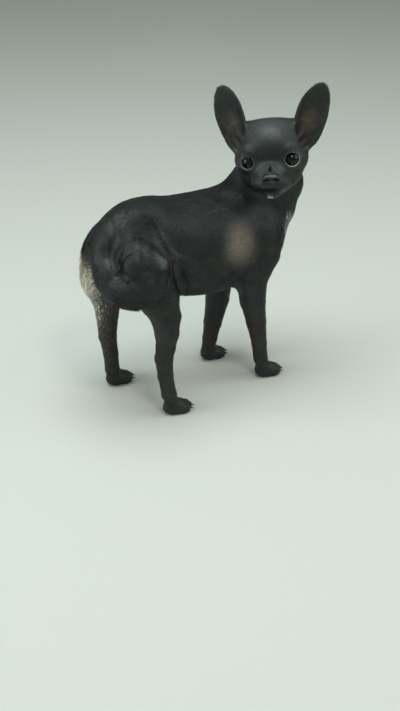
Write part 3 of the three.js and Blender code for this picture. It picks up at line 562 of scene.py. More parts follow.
def add_mesh(name, vertices, faces, material=None):
    """A smooth piece from points of the dog's frame and faces that all have as many corners."""
    faces = np.asarray(faces)
    places = (np.asarray(vertices, float) - FRAME_ORIGIN) * 0.001
    mesh = bpy.data.meshes.new(name)
    mesh.vertices.add(len(places))
    mesh.vertices.foreach_set("co", places.astype(np.float32).ravel())
    mesh.loops.add(faces.size)
    mesh.loops.foreach_set("vertex_index", faces.astype(np.int32).ravel())
    mesh.polygons.add(len(faces))
    mesh.polygons.foreach_set("loop_start", np.arange(0, faces.size, faces.shape[1], dtype=np.int32))
    mesh.update(calc_edges=True)
    mesh.shade_smooth()
    if material:
        mesh.materials.append(material)
    piece = bpy.data.objects.new(name, mesh)
    scene.collection.objects.link(piece)
    return piece


FINE_CELL, BODY_CELL, SOLE_HEIGHT = 0.9, 1.6, 0.02
skin_lines = [
    grid_lines(-120, 118, lambda x: FINE_CELL if x > 20 or -95 < x < -40 else BODY_CELL),
    grid_lines(-68, 66, lambda y: FINE_CELL if y < 22 else BODY_CELL),
    grid_lines(-3, 298, lambda z: FINE_CELL if z > 145 else BODY_CELL),
]
skin_points, skin_faces = surface_nets(sample_field(skin_distance, skin_lines), skin_lines)
skin_points = settle(skin_distance, skin_points)
skin_points[:, 2] = np.maximum(skin_points[:, 2], SOLE_HEIGHT)
skin_normals = unit_rows(slope_of(skin_distance, skin_points))
skin = add_mesh("skin", skin_points, skin_faces)


# Markings are named zones of the body: colours of the coat and skin, and also painted sheen, painted
# highlights and painted shade. Skin and coat both read them, so that they agree.
def spot(points, centre, radii, soft):
    """1 inside an ellipsoid and 0 outside, with a soft edge."""
    return fade(lengths((points - centre) / np.asarray(radii, float)), 1 - soft, 1 + soft)


def strongest(points, spots):
    """The strongest of several spots: how strong, centre, radii, softness."""
    return np.max([strength * spot(points, *where) for strength, *where in spots], axis=0)


# On the body: the cream breeches and the brindle of the left hind leg, the white blaze of the chest, a
# grey-brown sheen painted on the right shoulder, and near black painted as shade on the top of the right
# thigh and over the shoulders
PALE_SPOTS = ((1, (-86, 38, 128), (15, 20, 24), 0.55), (0.6, (-78, 44, 96), (12, 14, 26), 0.7))
BRINDLE_SPOT = (0.8, (-72, 40, 84), (16, 16, 52), 0.6)
BRINDLE_LEGS, BRINDLE_FADE = 0.2, (20, 80)
BLAZE_SPOT = (0.55, (91, -28, 158.5), (8, 6, 10.5), 0.7)
# Painted sheen: grey-brown laid over the right shoulder, where the coat catches the light
SHOULDER_SHEEN_SPOT = (0.75, (30, -41, 154), (12.5, 12, 16), 0.9)
# Painted shade: near black laid on the top of the right thigh and on the back over the shoulders
SHADE_SPOTS = ((0.8, (-62, -24, 187), (15, 14, 12), 0.5), (0.7, (38, -10, 194), (20, 20, 14), 0.6))
# On the head, in its own axes: the white chin, grey hair on the muzzle, grey painted as sheen on the crown
# and as highlights over the brows, black lips, and painted shade in the furrow over the nose
CHIN_SPOT = (0.6, (37.2, -1, -31.6), (5.4, 3, 3.2), 0.7)
# Grey painted as sheen over the crown and as highlights over the brows, and grey hair on each side of the
# muzzle
GREY_AND_SHEEN_SPOTS = (
    (0.3, (14, 0, 25), (13, 20, 9), 0.9),
    *((0.45, (30, side * 7.8, -8), (9, 4.5, 5), 0.7) for side in SIDES),
    *((0.25, (24.3, side * 18.3, 8.6), (5, 6.5, 3), 0.8) for side in SIDES),
)
# Black lips, and painted shade in the furrow over the nose
LIPS_AND_FURROW_SHADE = ((1, (38, 0, -24), (9, 13, 2.4), 0.5), (1, (36.4, 0.1, -6.6), (5, 1.8, 3), 0.4))
# A painted highlight: grey laid on the hair along the end of the tail's coil, where it catches the light
TAIL_SHINE = np.array(((-74, -40.5, 168), (-57.5, -48.5, 161)), float)
TAIL_SHINE_FADE = (2, 8)
# Bare brown skin in the ears and bare grey skin round the eyes, both plainer on the dog's left
EAR_PATCH = ((9, 1.5), (12, 7), 0.5)
EAR_BARENESS, LID_BARENESS, LID_FADE = {-1: 0.6, 1: 0.9}, {-1: 0.6, 1: 1.0}, (6.8, 10.5)


def marks(points, normals):
    """How strongly each marking shows at each point."""
    local = (points - SKULL) @ HEAD.T
    legs = BRINDLE_LEGS * fade(points[:, 2], *BRINDLE_FADE)
    _, from_coil = nearest_on(*TAIL_SHINE, points)
    coil = fade(from_coil, *TAIL_SHINE_FADE)
    inner, bare = np.zeros(len(points)), np.zeros(len(points))
    for side in SIDES:
        s, b, c = ear_place(side, points).T
        front = smooth_step(normals @ (ear_axes(side) @ HEAD)[2], 0.1, 0.5)
        patch = spot(np.stack((s, b), 1), *EAR_PATCH) * EAR_BARENESS[side]
        inner = np.maximum(inner, front * patch * (c < 16) * (np.abs(b) < 20))
        away = lengths(local - (EYES[side] + GAZE[side] * EYE_RADIUS * 0.8))
        bare = np.maximum(bare, fade(away, *LID_FADE) * LID_BARENESS[side])
    return {
        "pale": strongest(points, PALE_SPOTS),
        "brown": np.maximum(strongest(points, [BRINDLE_SPOT]), legs),
        "white": np.maximum(strongest(points, [BLAZE_SPOT]), strongest(local, [CHIN_SPOT])),
        "sheen": strongest(points, [SHOULDER_SHEEN_SPOT]),
        "grey_and_sheen": np.maximum(strongest(local, GREY_AND_SHEEN_SPOTS), coil),
        "inner": inner,
        "bare": bare,
        "dark": np.maximum(strongest(local, LIPS_AND_FURROW_SHADE), strongest(points, SHADE_SPOTS)),
    }


def write_values(piece, values_by_name):
    for name, values in values_by_name.items():
        layer = piece.data.attributes.new(name, "FLOAT", "POINT")
        layer.data.foreach_set("value", np.asarray(values, np.float32))


skin_marks = marks(skin_points, skin_normals)
write_values(skin, skin_marks)
# Below the belly the hair hangs down the legs
LEG_FADE = (90, 140)
write_values(skin, {"hanging": fade(skin_points[:, 2], *LEG_FADE)})


def linear(code):
    """An sRGB hex colour as linear RGBA."""
    parts = [int(code[i:i + 2], 16) / 255 for i in (0, 2, 4)]
    return (*(c / 12.92 if c <= 0.04045 else ((c + 0.055) / 1.055) ** 2.4 for c in parts), 1.0)


def new_material(name):
    material = bpy.data.materials.new(name)
    material.use_nodes = True
    tree = material.node_tree
    return material, tree, tree.nodes["Principled BSDF"]


def connect(tree, node, inputs):
    """Links each input that is given another node's output, and sets the others."""
    for key, value in inputs.items():
        if isinstance(value, bpy.types.NodeSocket):
            tree.links.new(value, node.inputs[key])
        else:
            node.inputs[key].default_value = value


def add_node(tree, kind, inputs=None, output=0, **settings):
    """Adds a node with its settings and inputs, and hands back one of its outputs."""
    node = tree.nodes.new(kind)
    for key, value in settings.items():
        setattr(node, key, value)
    connect(tree, node, inputs or {})
    return node.outputs[output]


def add_marking(tree, colour, name, code, spread=None):
    """A marking laid over a colour, as strongly as it shows at each point, and spread over the hair."""
    mark = add_node(tree, "ShaderNodeAttribute", output="Fac", attribute_name=name)
    amount = spread(mark) if spread else mark
    return add_node(tree, "ShaderNodeMix", {0: amount, 6: colour, 7: linear(code)}, 2, data_type="RGBA")


# Colours of the hair: a cool black, with brindle, cream and white where the coat has them, grey-brown
# painted as sheen, grey partly painted as sheen and highlights, and near black for the lips and painted as
# shade
BLACK_TOP, BLACK_DEEP, LIPS_AND_SHADE_BLACK = "343a38", "0e1110", "060606"
CREAM, BRINDLE, BROWN_SHEEN, WHITE, GREY_AND_SHEEN = "f0eadc", "4a4238", "a89a8a", "e0e2e0", "66706f"
BARE_EAR, BARE_LID = "453a33", "3a3f3e"
# Real sizes: the clouds of lighter and darker black, and the grain of the hair. The streaks that tufts make
# are drawn a few times as wide as real ones so that they show.
CLOUD_MM, GRAIN_MM, STREAK_MM = 16, 0.7, 1.1


def hair_colour(tree, strands):
    """Black hair with its markings, from a value of each strand between 0 and 1."""
    place = add_node(tree, "ShaderNodeTexCoord", output="Object")
    in_mm = add_node(tree, "ShaderNodeMapping", {"Vector": place, "Scale": (1000, 1000, 1000)})
    clouds = add_node(tree, "ShaderNodeTexNoise", {"Vector": in_mm, "Scale": 1 / CLOUD_MM, "Detail": 2.0})
    lightness = add_node(tree, "ShaderNodeMath", {0: clouds, 1: strands}, operation="MULTIPLY")
    blacks = {0: lightness, 6: linear(BLACK_DEEP), 7: linear(BLACK_TOP)}
    colour = add_node(tree, "ShaderNodeMix", blacks, 2, data_type="RGBA")
    softer = add_node(tree, "ShaderNodeMapRange", {"Value": strands, "To Min": 0.45})

    def as_a_veil(mark):
        return add_node(tree, "ShaderNodeMath", {0: mark, 1: softer}, operation="MULTIPLY")

    def strand_by_strand(mark):
        """The stronger the mark, the more of the strands it colours."""
        total = add_node(tree, "ShaderNodeMath", {0: mark, 1: strands}, operation="ADD")
        return add_node(tree, "ShaderNodeMapRange", {"Value": total, "From Min": 1.0, "From Max": 1.25})

    # Laid on as a veil: painted sheen in grey-brown, grey that is partly painted sheen and highlights, and
    # near black for the lips and for painted shade
    for name, code in (("sheen", BROWN_SHEEN), ("grey_and_sheen", GREY_AND_SHEEN), ("dark", LIPS_AND_SHADE_BLACK)):
        colour = add_marking(tree, colour, name, code, as_a_veil)
    for name, code in (("brown", BRINDLE), ("pale", CREAM), ("white", WHITE)):
        colour = add_marking(tree, colour, name, code, strand_by_strand)
    return colour


def hair_shine(tree):
    """The hair is glossy, and duller on the lips and under the painted shade."""
    mark = add_node(tree, "ShaderNodeAttribute", output="Fac", attribute_name="dark")
    return add_node(tree, "ShaderNodeMath", {0: mark, 1: -0.4, 2: 0.5}, operation="MULTIPLY_ADD")


# Dark skin under short hair, with a soft satin look. The bump is the grain of the hair, which runs back on
# the body and down the legs.
skin_material, tree, shader = new_material("dark skin under short black hair")
place = add_node(tree, "ShaderNodeTexCoord", output="Object")
drawn_out = add_node(tree, "ShaderNodeMapping", {"Vector": place, "Scale": (400, 1000, 400)})
streaks = add_node(tree, "ShaderNodeTexNoise", {"Vector": drawn_out, "Scale": 1 / STREAK_MM, "Detail": 3.0})
strands = add_node(tree, "ShaderNodeMapRange", {"Value": streaks, "From Min": 0.3, "From Max": 0.7})
colour = hair_colour(tree, strands)
for name, code in (("inner", BARE_EAR), ("bare", BARE_LID)):
    colour = add_marking(tree, colour, name, code)
grains = []
for stretch in ((260, 1000, 700), (800, 800, 220)):
    mapped = add_node(tree, "ShaderNodeMapping", {"Vector": place, "Scale": stretch})
    grain = {"Vector": mapped, "Scale": 1 / GRAIN_MM, "Detail": 4.0}
    grains.append(add_node(tree, "ShaderNodeTexNoise", grain))
hanging = add_node(tree, "ShaderNodeAttribute", output="Fac", attribute_name="hanging")
grain = add_node(tree, "ShaderNodeMix", {0: hanging, 2: grains[0], 3: grains[1]}, data_type="FLOAT")
bump = add_node(tree, "ShaderNodeBump", {"Height": grain, "Strength": 0.5, "Distance": 0.0005})
connect(tree, shader, {"Base Color": colour, "Normal": bump, "Roughness": 0.55})
connect(tree, shader, {"Specular IOR Level": hair_shine(tree)})
skin.data.materials.append(skin_material)
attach(skin, "root")
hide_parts(*[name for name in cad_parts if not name.startswith(("eye", "nose"))])

# Coat
# Short straight black hair that lies close, in fine pointed tufts a few hairs thick, rooted in the skin.
# It runs back from the nose and along the body, down the legs and along the tail, and is longest on the
# tail, the chest and the pale breeches of the left thigh.
random = np.random.default_rng(11)


def ear_distance(points):
    return np.min([leaf[0](points) for leaf in ears], axis=0)


def coat_zones(points):
    """How much each root belongs to each region of the coat."""
    local = (points - SKULL) @ HEAD.T
    x, y, z = points.T

    def near_spot(place, low, high):
        return fade(lengths(local - place), low, high)

    def near_form(distance, where, low, high):
        near = np.zeros(len(points))
        near[where] = fade(distance(points[where]), low, high)
        return near

    return {
        "head": np.maximum(near_spot((0, 0, 0), 36, 50), near_spot((30, 0, -18), 16, 24)),
        "muzzle": near_spot((36, 0, -18), 14, 22),
        "ear": near_form(ear_distance, z > 215, 0.4, 2.2),
        "tail": near_form(tail_form[0], (x < -45) & (y < 18) & (z > 105), 0.0, 1.4),
        "neck": smooth_step(z, 170, 194) * smooth_step(x, 30, 58),
        "leg": fade(z, 92, 138),
        "paw": fade(z, 9, 22),
        "breeches": spot(points, (-86, 40, 122), (16, 20, 32), 0.5),
        "chest": spot(points, (92, -8, 150), (26, 34, 34), 0.5),
        "belly": fade(z, 100, 116) * smooth_step(z, 84, 94) * (abs(y) < 34) * (abs(x) < 62),
    }


def lie_of_hair(points, normals, zones):
    """The way the hair runs at each root, along the skin."""
    local = (points - SKULL) @ HEAD.T
    lie = np.tile((-1.0, 0.0, -0.3), (len(points), 1))
    layers = [
        ("neck", np.array((-0.45, 0.1, -0.88))),
        ("chest", np.array((-0.3, 0.0, -0.95))),
        ("leg", np.array((-0.15, 0.0, -1.0))),
        ("paw", np.array((1.0, 0.0, -0.5))),
        ("head", unit_rows(local - (44, 0, -13)) @ HEAD),
    ]
    ear_ward = np.zeros((len(points), 3))
    for side in SIDES:
        up, outward, _ = ear_axes(side) @ HEAD
        here = (local[:, 1] > 0) == (side > 0)
        ear_ward[here] = up + 0.25 * outward
    layers.append(("ear", ear_ward))
    away, along = np.full(len(points), np.inf), np.zeros((len(points), 3))
    tail = np.array(TAIL, float)
    for start, end in zip(tail[:-1], tail[1:]):
        _, reach = nearest_on(start, end, points)
        closer = reach < away
        away[closer] = reach[closer]
        along[closer] = unit(end[:3] - start[:3])
    layers.append(("tail", along))
    for name, direction in layers:
        weight = zones[name][:, None]
        lie = lie * (1 - weight) + unit_rows(direction) * weight
    wave = 0.22 * np.sin(points @ (0.11, 0.05, 0.07)) + 0.16 * np.sin(points @ (-0.05, 0.13, 0.19) + 1.7)
    swerve = wave * (1 - zones["head"]) + random.normal(0, 0.13, len(points))
    lie = unit_rows(lie - normals * (lie * normals).sum(1, keepdims=True))
    return lie * np.cos(swerve)[:, None] + np.cross(normals, lie) * np.sin(swerve)[:, None]


def by_zone(zones, base, **by_name):
    value = np.full(len(zones["head"]), float(base))
    for name, target in by_name.items():
        value = value * (1 - zones[name]) + target * zones[name]
    return value


def scatter(points, faces, furred):
    """Roots at random on the furred skin, each with the way that the skin faces."""
    per_square_mm = by_zone(coat_zones(points), 1.7, neck=2.0, leg=2.1, paw=3.6, breeches=3.0, chest=2.2,
                            head=4.2, muzzle=5.0, ear=3.2, tail=2.6)
    a, b, c, d = points[faces].transpose(1, 0, 2)
    area = 0.5 * lengths(np.cross(c - a, d - b))
    count = random.poisson(area * per_square_mm[faces].mean(1) * furred[faces].mean(1))
    chosen = np.repeat(np.arange(len(faces)), count)
    u, v = random.random((2, len(chosen), 1))
    weights = np.concatenate(((1 - u) * (1 - v), u * (1 - v), u * v, (1 - u) * v), 1)
    roots = np.einsum("ij,ijk->ik", weights, points[faces[chosen]])
    normals = unit_rows(np.einsum("ij,ijk->ik", weights, skin_normals[faces[chosen]]))
    return roots, normals


# Little hair grows in the ears, round the eyes, on the lips and over the furrow of the nose, thinner hair
# under the painted shade of the right thigh and over the shoulders, and none under the nose pad, in the eye
# sockets or under the feet
furred = 1 - np.maximum(0.85 * skin_marks["inner"], 0.9 * skin_marks["bare"])
furred *= 1 - 0.6 * skin_marks["dark"]
furred *= smooth_step(skin_points[:, 2], 0.8, 2.0)
local = (skin_points - SKULL) @ HEAD.T
NOSE_BED, NOSE_BED_RADII = (42.5, 0.9, -14.4), (5, 8.6, 5)
furred *= smooth_step(lengths((local - NOSE_BED) / NOSE_BED_RADII), 0.9, 1.1)
for side in SIDES:
    furred *= smooth_step(lengths(local - EYES[side]), EYE_RADIUS + 0.2, EYE_RADIUS + 0.8)
roots, root_normals = scatter(skin_points, skin_faces, furred)
zones = coat_zones(roots)
lie = lie_of_hair(roots, root_normals, zones)
# Length and width in millimetres, and how much each tip rises for its length. The tail is longest below.
sag = smooth_step(-root_normals[:, 2], 0.0, 0.7)
length = by_zone(zones, 4.6, neck=5.2, chest=6.6, belly=5.5, leg=3.6, paw=2.0, breeches=8.5, head=2.3,
                 muzzle=1.2, ear=1.9, tail=5.0)
length += zones["tail"] * sag * 4
width = by_zone(zones, 0.42, leg=0.34, paw=0.26, head=0.24, muzzle=0.17, ear=0.2, tail=0.42, breeches=0.38)
rise = by_zone(zones, 0.04, neck=0.05, chest=0.12, belly=0.08, leg=0.05, paw=0.07, breeches=0.2, head=0.06,
               muzzle=0.1, ear=0.05, tail=0.06)
length *= random.uniform(0.7, 1.2, len(roots))
width *= random.uniform(0.7, 1.3, len(roots))
rise = rise * random.uniform(0.2, 1.9, len(roots)) + random.exponential(0.012, len(roots))
tilt = random.normal(0, 0.2, len(roots))[:, None]
side_way = np.cross(lie, root_normals)
blade = side_way * np.cos(tilt) + root_normals * np.sin(tilt)
ROOT_DEPTH, CLEAR = 0.25, 0.05
base = roots - root_normals * ROOT_DEPTH
middle = roots + lie * (0.5 * length)[:, None] + root_normals * (CLEAR + 0.8 * rise * length)[:, None]
tip = roots + lie * length[:, None] + root_normals * (CLEAR + rise * length)[:, None]
half = blade * (0.5 * width)[:, None]
# Hair that lies close shades like the skin under it, and each tuft leans its shine a little to one side
SHINE_SPREAD = 0.15
shine_normals = unit_rows(root_normals + side_way * random.normal(0, SHINE_SPREAD, len(roots))[:, None])
strand = random.random(len(roots))
tufts = np.stack((base - half, base + half, middle - 0.8 * half, middle + 0.8 * half, tip), 1)
tufts[:, :, 2] = np.maximum(tufts[:, :, 2], CLEAR)
TUFT_FACES = np.array(((0, 1, 3), (0, 3, 2), (2, 3, 4)))

# Each tuft is a small patch of the unwrap, at the place of its root: six views of the skin for each half
PATCH = 0.003
PATCH_SHAPE = PATCH * np.array(((-0.5, -0.5), (0.5, -0.5), (-0.4, 0.0), (0.4, 0.0), (0.0, 0.5)))
CHART_MARGIN, CHART_SIZE = np.array((0.012, 0.012)), np.array((0.226, 0.309))


def unwrap_roots(points, normals):
    """Places of the roots on twelve flat charts of the skin's own shape, four across and three up."""
    rows = np.arange(len(points))
    axis = np.abs(normals).argmax(1)
    facing = normals[rows, axis] > 0
    chart = axis * 4 + facing * 2 + (points[:, 1] > 0)
    low, size = points.min(0), np.ptp(points, axis=0).max()
    first, second = np.where(axis == 0, 1, 0), np.where(axis == 2, 1, 2)
    flat = np.stack([(points - low)[rows, way] for way in (first, second)], 1) / size
    corner = np.stack((chart % 4 / 4, chart // 4 / 3), 1)
    return corner + CHART_MARGIN + flat * CHART_SIZE


# Short black hair, glossy with the grease of the coat: each strand has its own black
hair_material, tree, shader = new_material("tufts of short black hair")
strands = add_node(tree, "ShaderNodeAttribute", output="Fac", attribute_name="strand")
connect(tree, shader, {"Base Color": hair_colour(tree, strands), "Roughness": 0.46})
connect(tree, shader, {"Specular IOR Level": hair_shine(tree)})
HAIR_MARKS = ("pale", "brown", "white", "sheen", "grey_and_sheen", "dark")


def add_tufts(name, chosen):
    """One piece of the coat, with its markings and its unwrap."""
    corners = tufts.shape[1]
    faces = (TUFT_FACES[None] + corners * np.arange(len(chosen))[:, None, None]).reshape(-1, 3)
    piece = add_mesh(name, tufts[chosen].reshape(-1, 3), faces, hair_material)
    values = marks(roots[chosen], root_normals[chosen])
    write_values(piece, {key: np.repeat(values[key], corners) for key in HAIR_MARKS})
    write_values(piece, {"strand": np.repeat(strand[chosen], corners)})
    shading = np.repeat(shine_normals[chosen], corners, 0).astype(np.float32)
    piece.data.normals_split_custom_set_from_vertices(shading)
    layer = piece.data.uv_layers.new(name="OFBake")
    places = (unwrap_roots(roots[chosen], root_normals[chosen])[:, None] + PATCH_SHAPE).reshape(-1, 2)
    layer.data.foreach_set("uv", places[faces.ravel()].astype(np.float32).ravel())
    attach(piece, "root")


# Each root belongs to the first area that takes it, and a large area is shared out among pieces
LEG_TOP, SHOULDER, MOST_TRIANGLES = 112, 30, 190000
areas = {
    "head_coat": (zones["head"] > 0.5) | (zones["ear"] > 0.5),
    "tail_coat": zones["tail"] > 0.5,
    "leg_coat": roots[:, 2] < LEG_TOP,
    "neck_coat": roots[:, 0] > SHOULDER,
    "body_coat": np.ones(len(roots), bool),
}
taken = np.zeros(len(roots), bool)
for name, where in areas.items():
    chosen = np.flatnonzero(where & ~taken)
    taken |= where
    parts = 1 + len(TUFT_FACES) * len(chosen) // MOST_TRIANGLES
    for n in range(parts):
        add_tufts(f"{name}_{n + 1}" if parts > 1 else name, chosen[n::parts])

# Eyes
# The two wet eyeballs, set deep between the lids, each with the dome of the cornea on its front. The film of
# tears makes them the smoothest thing on the dog: near black, with one sharp light in each.
eye_material, tree, shader = new_material("wet dark brown eye")
from_middle = add_node(tree, "ShaderNodeAttribute", output="Fac", attribute_name="from_gaze")
colour = linear("030303")
for start, end, code in ((0.36, 0.40, "120d0a"), (0.72, 0.78, "090706"), (0.86, 0.92, "4a4743")):
    ring = {"Value": from_middle, "From Min": start, "From Max": end}
    ring = {0: add_node(tree, "ShaderNodeMapRange", ring), 6: colour, 7: linear(code)}
    colour = add_node(tree, "ShaderNodeMix", ring, 2, data_type="RGBA")
connect(tree, shader, {"Base Color": colour, "Roughness": 0.05, "IOR": 1.38})
CORNEA_RISE, CORNEA_HALF_ANGLE, SOCKET_GAP = 0.5, 0.7, 0.3
EYE_RINGS, EYE_SIDES = 48, 64


def tube(line, radii, first, second, sides):
    """Rings of points round a line, in the plane of two directions."""
    around = 2 * np.pi * np.arange(sides)[:, None] / sides
    first, second = (np.broadcast_to(way, line.shape)[:, None] for way in (first, second))
    ring = np.cos(around) * first + np.sin(around) * second
    return (line[:, None] + ring * np.reshape(radii, (-1, 1, 1))).reshape(-1, 3)


def tube_faces(rings, sides, closed=False):
    """Quads between each ring and the next, and between the last and the first where the tube is closed."""
    ring, step = np.meshgrid(np.arange(rings if closed else rings - 1), np.arange(sides), indexing="ij")
    here, ahead = ring * sides, (ring + 1) % rings * sides
    beside = (step + 1) % sides
    return np.stack((here + step, ahead + step, ahead + beside, here + beside), -1).reshape(-1, 4)


for side, name in ((-1, "eye_right"), (1, "eye_left")):
    out, across, up = eye_axes(side)
    turns = np.pi * (np.arange(EYE_RINGS) + 0.02) / (EYE_RINGS - 0.96)
    front = np.maximum(0, 1 - turns / CORNEA_HALF_ANGLE)
    radii = EYE_RADIUS - SOCKET_GAP + CORNEA_RISE * front**2 * (3 - 2 * front)
    line = EYES[side] + (radii * np.cos(turns))[:, None] * out
    points = head_point(tube(line, radii * np.sin(turns), across, up, EYE_SIDES))
    eye = add_mesh(name + "_ball", points, tube_faces(EYE_RINGS, EYE_SIDES), eye_material)
    write_values(eye, {"from_gaze": np.repeat(turns, EYE_SIDES)})
    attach(eye, "root")
    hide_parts(name)

# Lid rims
# The bare edge of the lids: a thin roll of skin all round each eye, kept wet by the tears, so that it
# glints.
# Its grey is a painted reflection of that glint, paler on the dog's left eye.
RIM_RADIUS, RIM_INSET, RIM_LIFT, RIM_RINGS, RIM_SIDES = 0.45, 0.95, 0.35, 72, 8


def plain_material(name, code, roughness):
    """A finish of one colour all over."""
    material, tree, shader = new_material(name)
    connect(tree, shader, {"Base Color": linear(code), "Roughness": roughness})
    return material


# Grey painted as the reflection on the wet rim, paler on the dog's left eye
rim_materials = {
    "right_lid_rim": plain_material("wet bare lid rim, grey with painted reflection", "626967", 0.3),
    "left_lid_rim": plain_material("wet bare lid rim, grey with painted reflection, paler", "9ba19e", 0.3),
}
for side, name in zip(SIDES, rim_materials):
    angle = 2 * np.pi * np.arange(RIM_RINGS) / RIM_RINGS
    flat = RIM_INSET * LID_OPENING[side][1:] * np.stack((np.cos(angle), np.sin(angle)), 1)
    deep = np.sqrt((EYE_RADIUS + RIM_LIFT) ** 2 - (flat**2).sum(1))
    line = np.column_stack((deep, flat)) @ eye_axes(side)
    outward = unit_rows(line)
    across = np.cross(unit_rows(np.roll(line, -1, 0) - np.roll(line, 1, 0)), outward)
    points = head_point(EYES[side] + tube(line, RIM_RADIUS, outward, across, RIM_SIDES))
    rim = add_mesh(name, points, tube_faces(RIM_RINGS, RIM_SIDES, closed=True), rim_materials[name])
    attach(rim, "root")

# Nose pad
# The bare black leather of the nose, moist and finely pebbled, so that it glints in small broken lights.
# Two round nostrils run out to a slit at each side. It sits a little to the dog's left.
NOSE_SHIFT = 0.9
leather = [
    head_ball((42.2, NOSE_SHIFT, -12.6), (4.4, 6.8, 4), 1),
    head_ball((42.8, NOSE_SHIFT, -15.2), (3, 3.8, 2.8), 2),
    *(head_ball((42.2, NOSE_SHIFT + side * 4.8, -13), (3.8, 3.1, 3.5), 1.5) for side in SIDES),
]
for side in SIDES:
    leather += [
        head_ball((47, NOSE_SHIFT + side * 3.7, -13.2), (3.4, 1.9, 1.8), 0.6, True),
        head_ball((45, NOSE_SHIFT + side * 6.2, -14.2), (2.6, 2.2, 0.8), 0.6, True),
    ]


def nose_distance(points):
    return distance_to(leather, points)


NOSE_CELL, NOSE_REACH, PEBBLE_MM = 0.32, 11, 0.6
nose_middle = head_point((42, 0, -14))
nose_lines = [grid_lines(v - NOSE_REACH, v + NOSE_REACH, lambda _: NOSE_CELL) for v in nose_middle]
nose_points, nose_faces = surface_nets(sample_field(nose_distance, nose_lines), nose_lines)
nose_material, tree, shader = new_material("moist pebbled nose leather")
place = add_node(tree, "ShaderNodeTexCoord", output="Object")
mapped = add_node(tree, "ShaderNodeMapping", {"Vector": place, "Scale": (1000, 1000, 1000)})
pebbles = add_node(tree, "ShaderNodeTexVoronoi", {"Vector": mapped, "Scale": 1 / PEBBLE_MM})
bump = add_node(tree, "ShaderNodeBump", {"Height": pebbles, "Strength": 0.4, "Distance": 0.0003})
connect(tree, shader, {"Base Color": linear("141415"), "Normal": bump, "Roughness": 0.34})
nose = add_mesh("nose_pad", settle(nose_distance, nose_points, 0.2), nose_faces, nose_material)
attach(nose, "root")
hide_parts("nose")

# Whiskers
# Stiff black hairs rooted in the lips and over the eyes, thicker than the coat and drawn out to nothing.
# Their smooth shafts shine a little more than the coat. Each has its root, its way and its length.
WHISKERS = (
    ((34, 11.5, -17), (0.1, 1, -0.05), 15), ((32, 12.8, -18.5), (0, 1, -0.2), 17),
    ((35.5, 11, -19.5), (0.25, 1, -0.3), 13), ((31, 13.5, -21), (-0.1, 1, -0.45), 15),
    ((34, 12, -22), (0.2, 1, -0.6), 11), ((24, 19, 8.5), (0.5, 0.6, 0.7), 8),
    ((22, 21, 7.5), (0.4, 0.9, 0.6), 8),
)
WHISKER_RINGS, WHISKER_SIDES, WHISKER_RADIUS, WHISKER_END = 7, 5, 0.14, 0.02
WHISKER_SAG = np.array((-0.35, 0, -0.25))


def add_tubes(name, tubes, rings, sides, material):
    """One piece of many open tubes that all have as many rings and sides."""
    firsts = rings * sides * np.arange(len(tubes))
    faces = tube_faces(rings, sides) + firsts[:, None, None]
    return add_mesh(name, np.concatenate(tubes), faces.reshape(-1, 4), material)


along = np.linspace(0, 1, WHISKER_RINGS)[:, None]
shafts = []
for side in SIDES:
    for root, way, reach in WHISKERS:
        ahead = unit(np.array(way) * (1, side, 1))
        across = unit(np.cross(ahead, (0.2, 0, 1)))
        line = np.array(root) * (1, side, 1) + ahead * reach * along + WHISKER_SAG * reach * along**2
        radii = WHISKER_RADIUS * (1 - along) + WHISKER_END
        shafts.append(head_point(tube(line, radii, across, np.cross(ahead, across), WHISKER_SIDES)))
whisker_material = plain_material("stiff black whisker hair", "141413", 0.4)
whiskers = add_tubes("whiskers", shafts, WHISKER_RINGS, WHISKER_SIDES, whisker_material)
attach(whiskers, "root")

# Claws
# Sixteen short, dark, curved horns, one out of the end of each toe. Horn is dense and is walked smooth, so
# that it has a dull polish.
CLAW_RINGS, CLAW_SIDES, CLAW_LENGTH, CLAW_RADIUS, CLAW_END = 6, 8, 4.6, 1.1, 0.08
CLAW_ROOT, CLAW_HEIGHT, CLAW_NARROWNESS = 5.2, 5.2, 0.8
along = np.linspace(0, 1, CLAW_RINGS)
radii = CLAW_RADIUS * (1 - along) ** 0.7 + CLAW_END
horns = []
for paw in PAWS:
    foot, axes = paw_frame(paw)
    for f, l in TOES:
        ahead, aside = f + CLAW_ROOT + CLAW_LENGTH * along, l * (1.06 + 0.06 * along)
        line = np.stack((ahead, aside, CLAW_HEIGHT - 1.2 * along - 1.8 * along**2), 1)
        horns.append(foot + tube(line, radii, (0, CLAW_NARROWNESS, 0), (0, 0, 1), CLAW_SIDES) @ axes)
claws = add_tubes("claws", horns, CLAW_RINGS, CLAW_SIDES, plain_material("dark claw horn", "2b2622", 0.35))
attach(claws, "root")

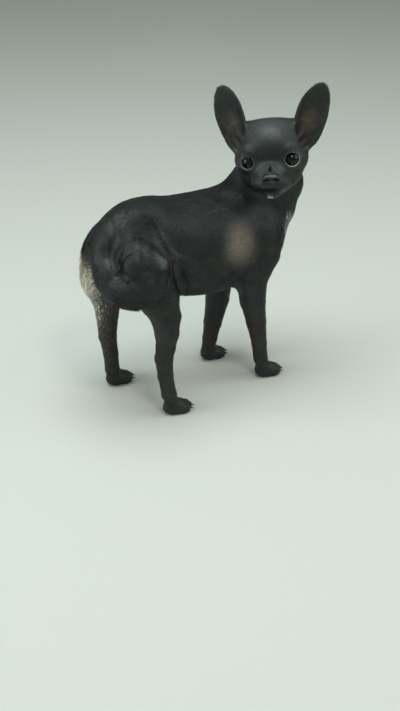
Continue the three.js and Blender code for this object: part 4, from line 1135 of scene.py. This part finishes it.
# Floor, light and camera
# A plain pale studio floor, matt so that it shows no light of its own, under a broad soft light above, one
# at each side and a small one in front, and the photo's high view from the dog's right and behind.
FLOOR_REACH = 3000
floor_corners = FLOOR_REACH * np.array(((-1, -1, 0), (1, -1, 0), (1, 1, 0), (-1, 1, 0)))
floor_material = plain_material("matt pale floor", "c4c6c0", 0.9)
floor = add_mesh("floor", floor_corners, [(0, 1, 2, 3)], floor_material)

world = bpy.data.worlds.new("studio")
scene.world = world
world.use_nodes = True
sky = world.node_tree
connect(sky, sky.nodes["Background"], {"Color": linear("e0e8e0"), "Strength": 0.4})


def set_up(name, data, place, look):
    """Puts up a light or a camera at a place, turned the way that it looks."""
    stand = bpy.data.objects.new(name, data)
    stand.location = place
    stand.rotation_mode = "QUATERNION"
    stand.rotation_quaternion = look.to_track_quat("-Z", "Y")
    scene.collection.objects.link(stand)
    return stand


def area_light(name, place, target, size, power, colour):
    light = bpy.data.lights.new(name, "AREA")
    light.shape, light.size, light.energy, light.color = "DISK", size, power, linear(colour)[:3]
    set_up(name, light, place, Vector(target) - Vector(place))


area_light("sky light", (-0.12, -0.02, 1.5), (0, 0, 0.15), 1.2, 19, "e6f2f4")
area_light("left light", (-1.3, 0.3, 0.7), (0, 0, 0.15), 1.0, 9, "f2faf4")
area_light("right light", (1.0, -0.7, 0.7), (0, 0, 0.15), 0.9, 4, "f2faf4")
area_light("front light", (-0.15, -0.75, 1.15), (0.03, -0.02, 0.18), 0.22, 3, "fff8ee")

VIEW_TURN, VIEW_TILT, FOCAL_PIXELS, LONG_SIDE_PIXELS = math.radians(33), math.radians(30), 1000, 711
SENSOR_WIDTH, CAMERA_PLACE = 36, (-448.4, -707.7, 513.2)
camera_data = bpy.data.cameras.new("camera")
camera_data.sensor_width = SENSOR_WIDTH
camera_data.lens = SENSOR_WIDTH * FOCAL_PIXELS / LONG_SIDE_PIXELS
camera_data.clip_start, camera_data.clip_end = 0.01, 20
look = Vector((math.sin(VIEW_TURN) * math.cos(VIEW_TILT), math.cos(VIEW_TURN) * math.cos(VIEW_TILT),
               -math.sin(VIEW_TILT)))
camera_place = Vector((CAMERA_PLACE - FRAME_ORIGIN) * 0.001)
scene.camera = set_up("camera", camera_data, camera_place, look)
scene.view_settings.view_transform = "Standard"

bpy.context.view_layer.update()
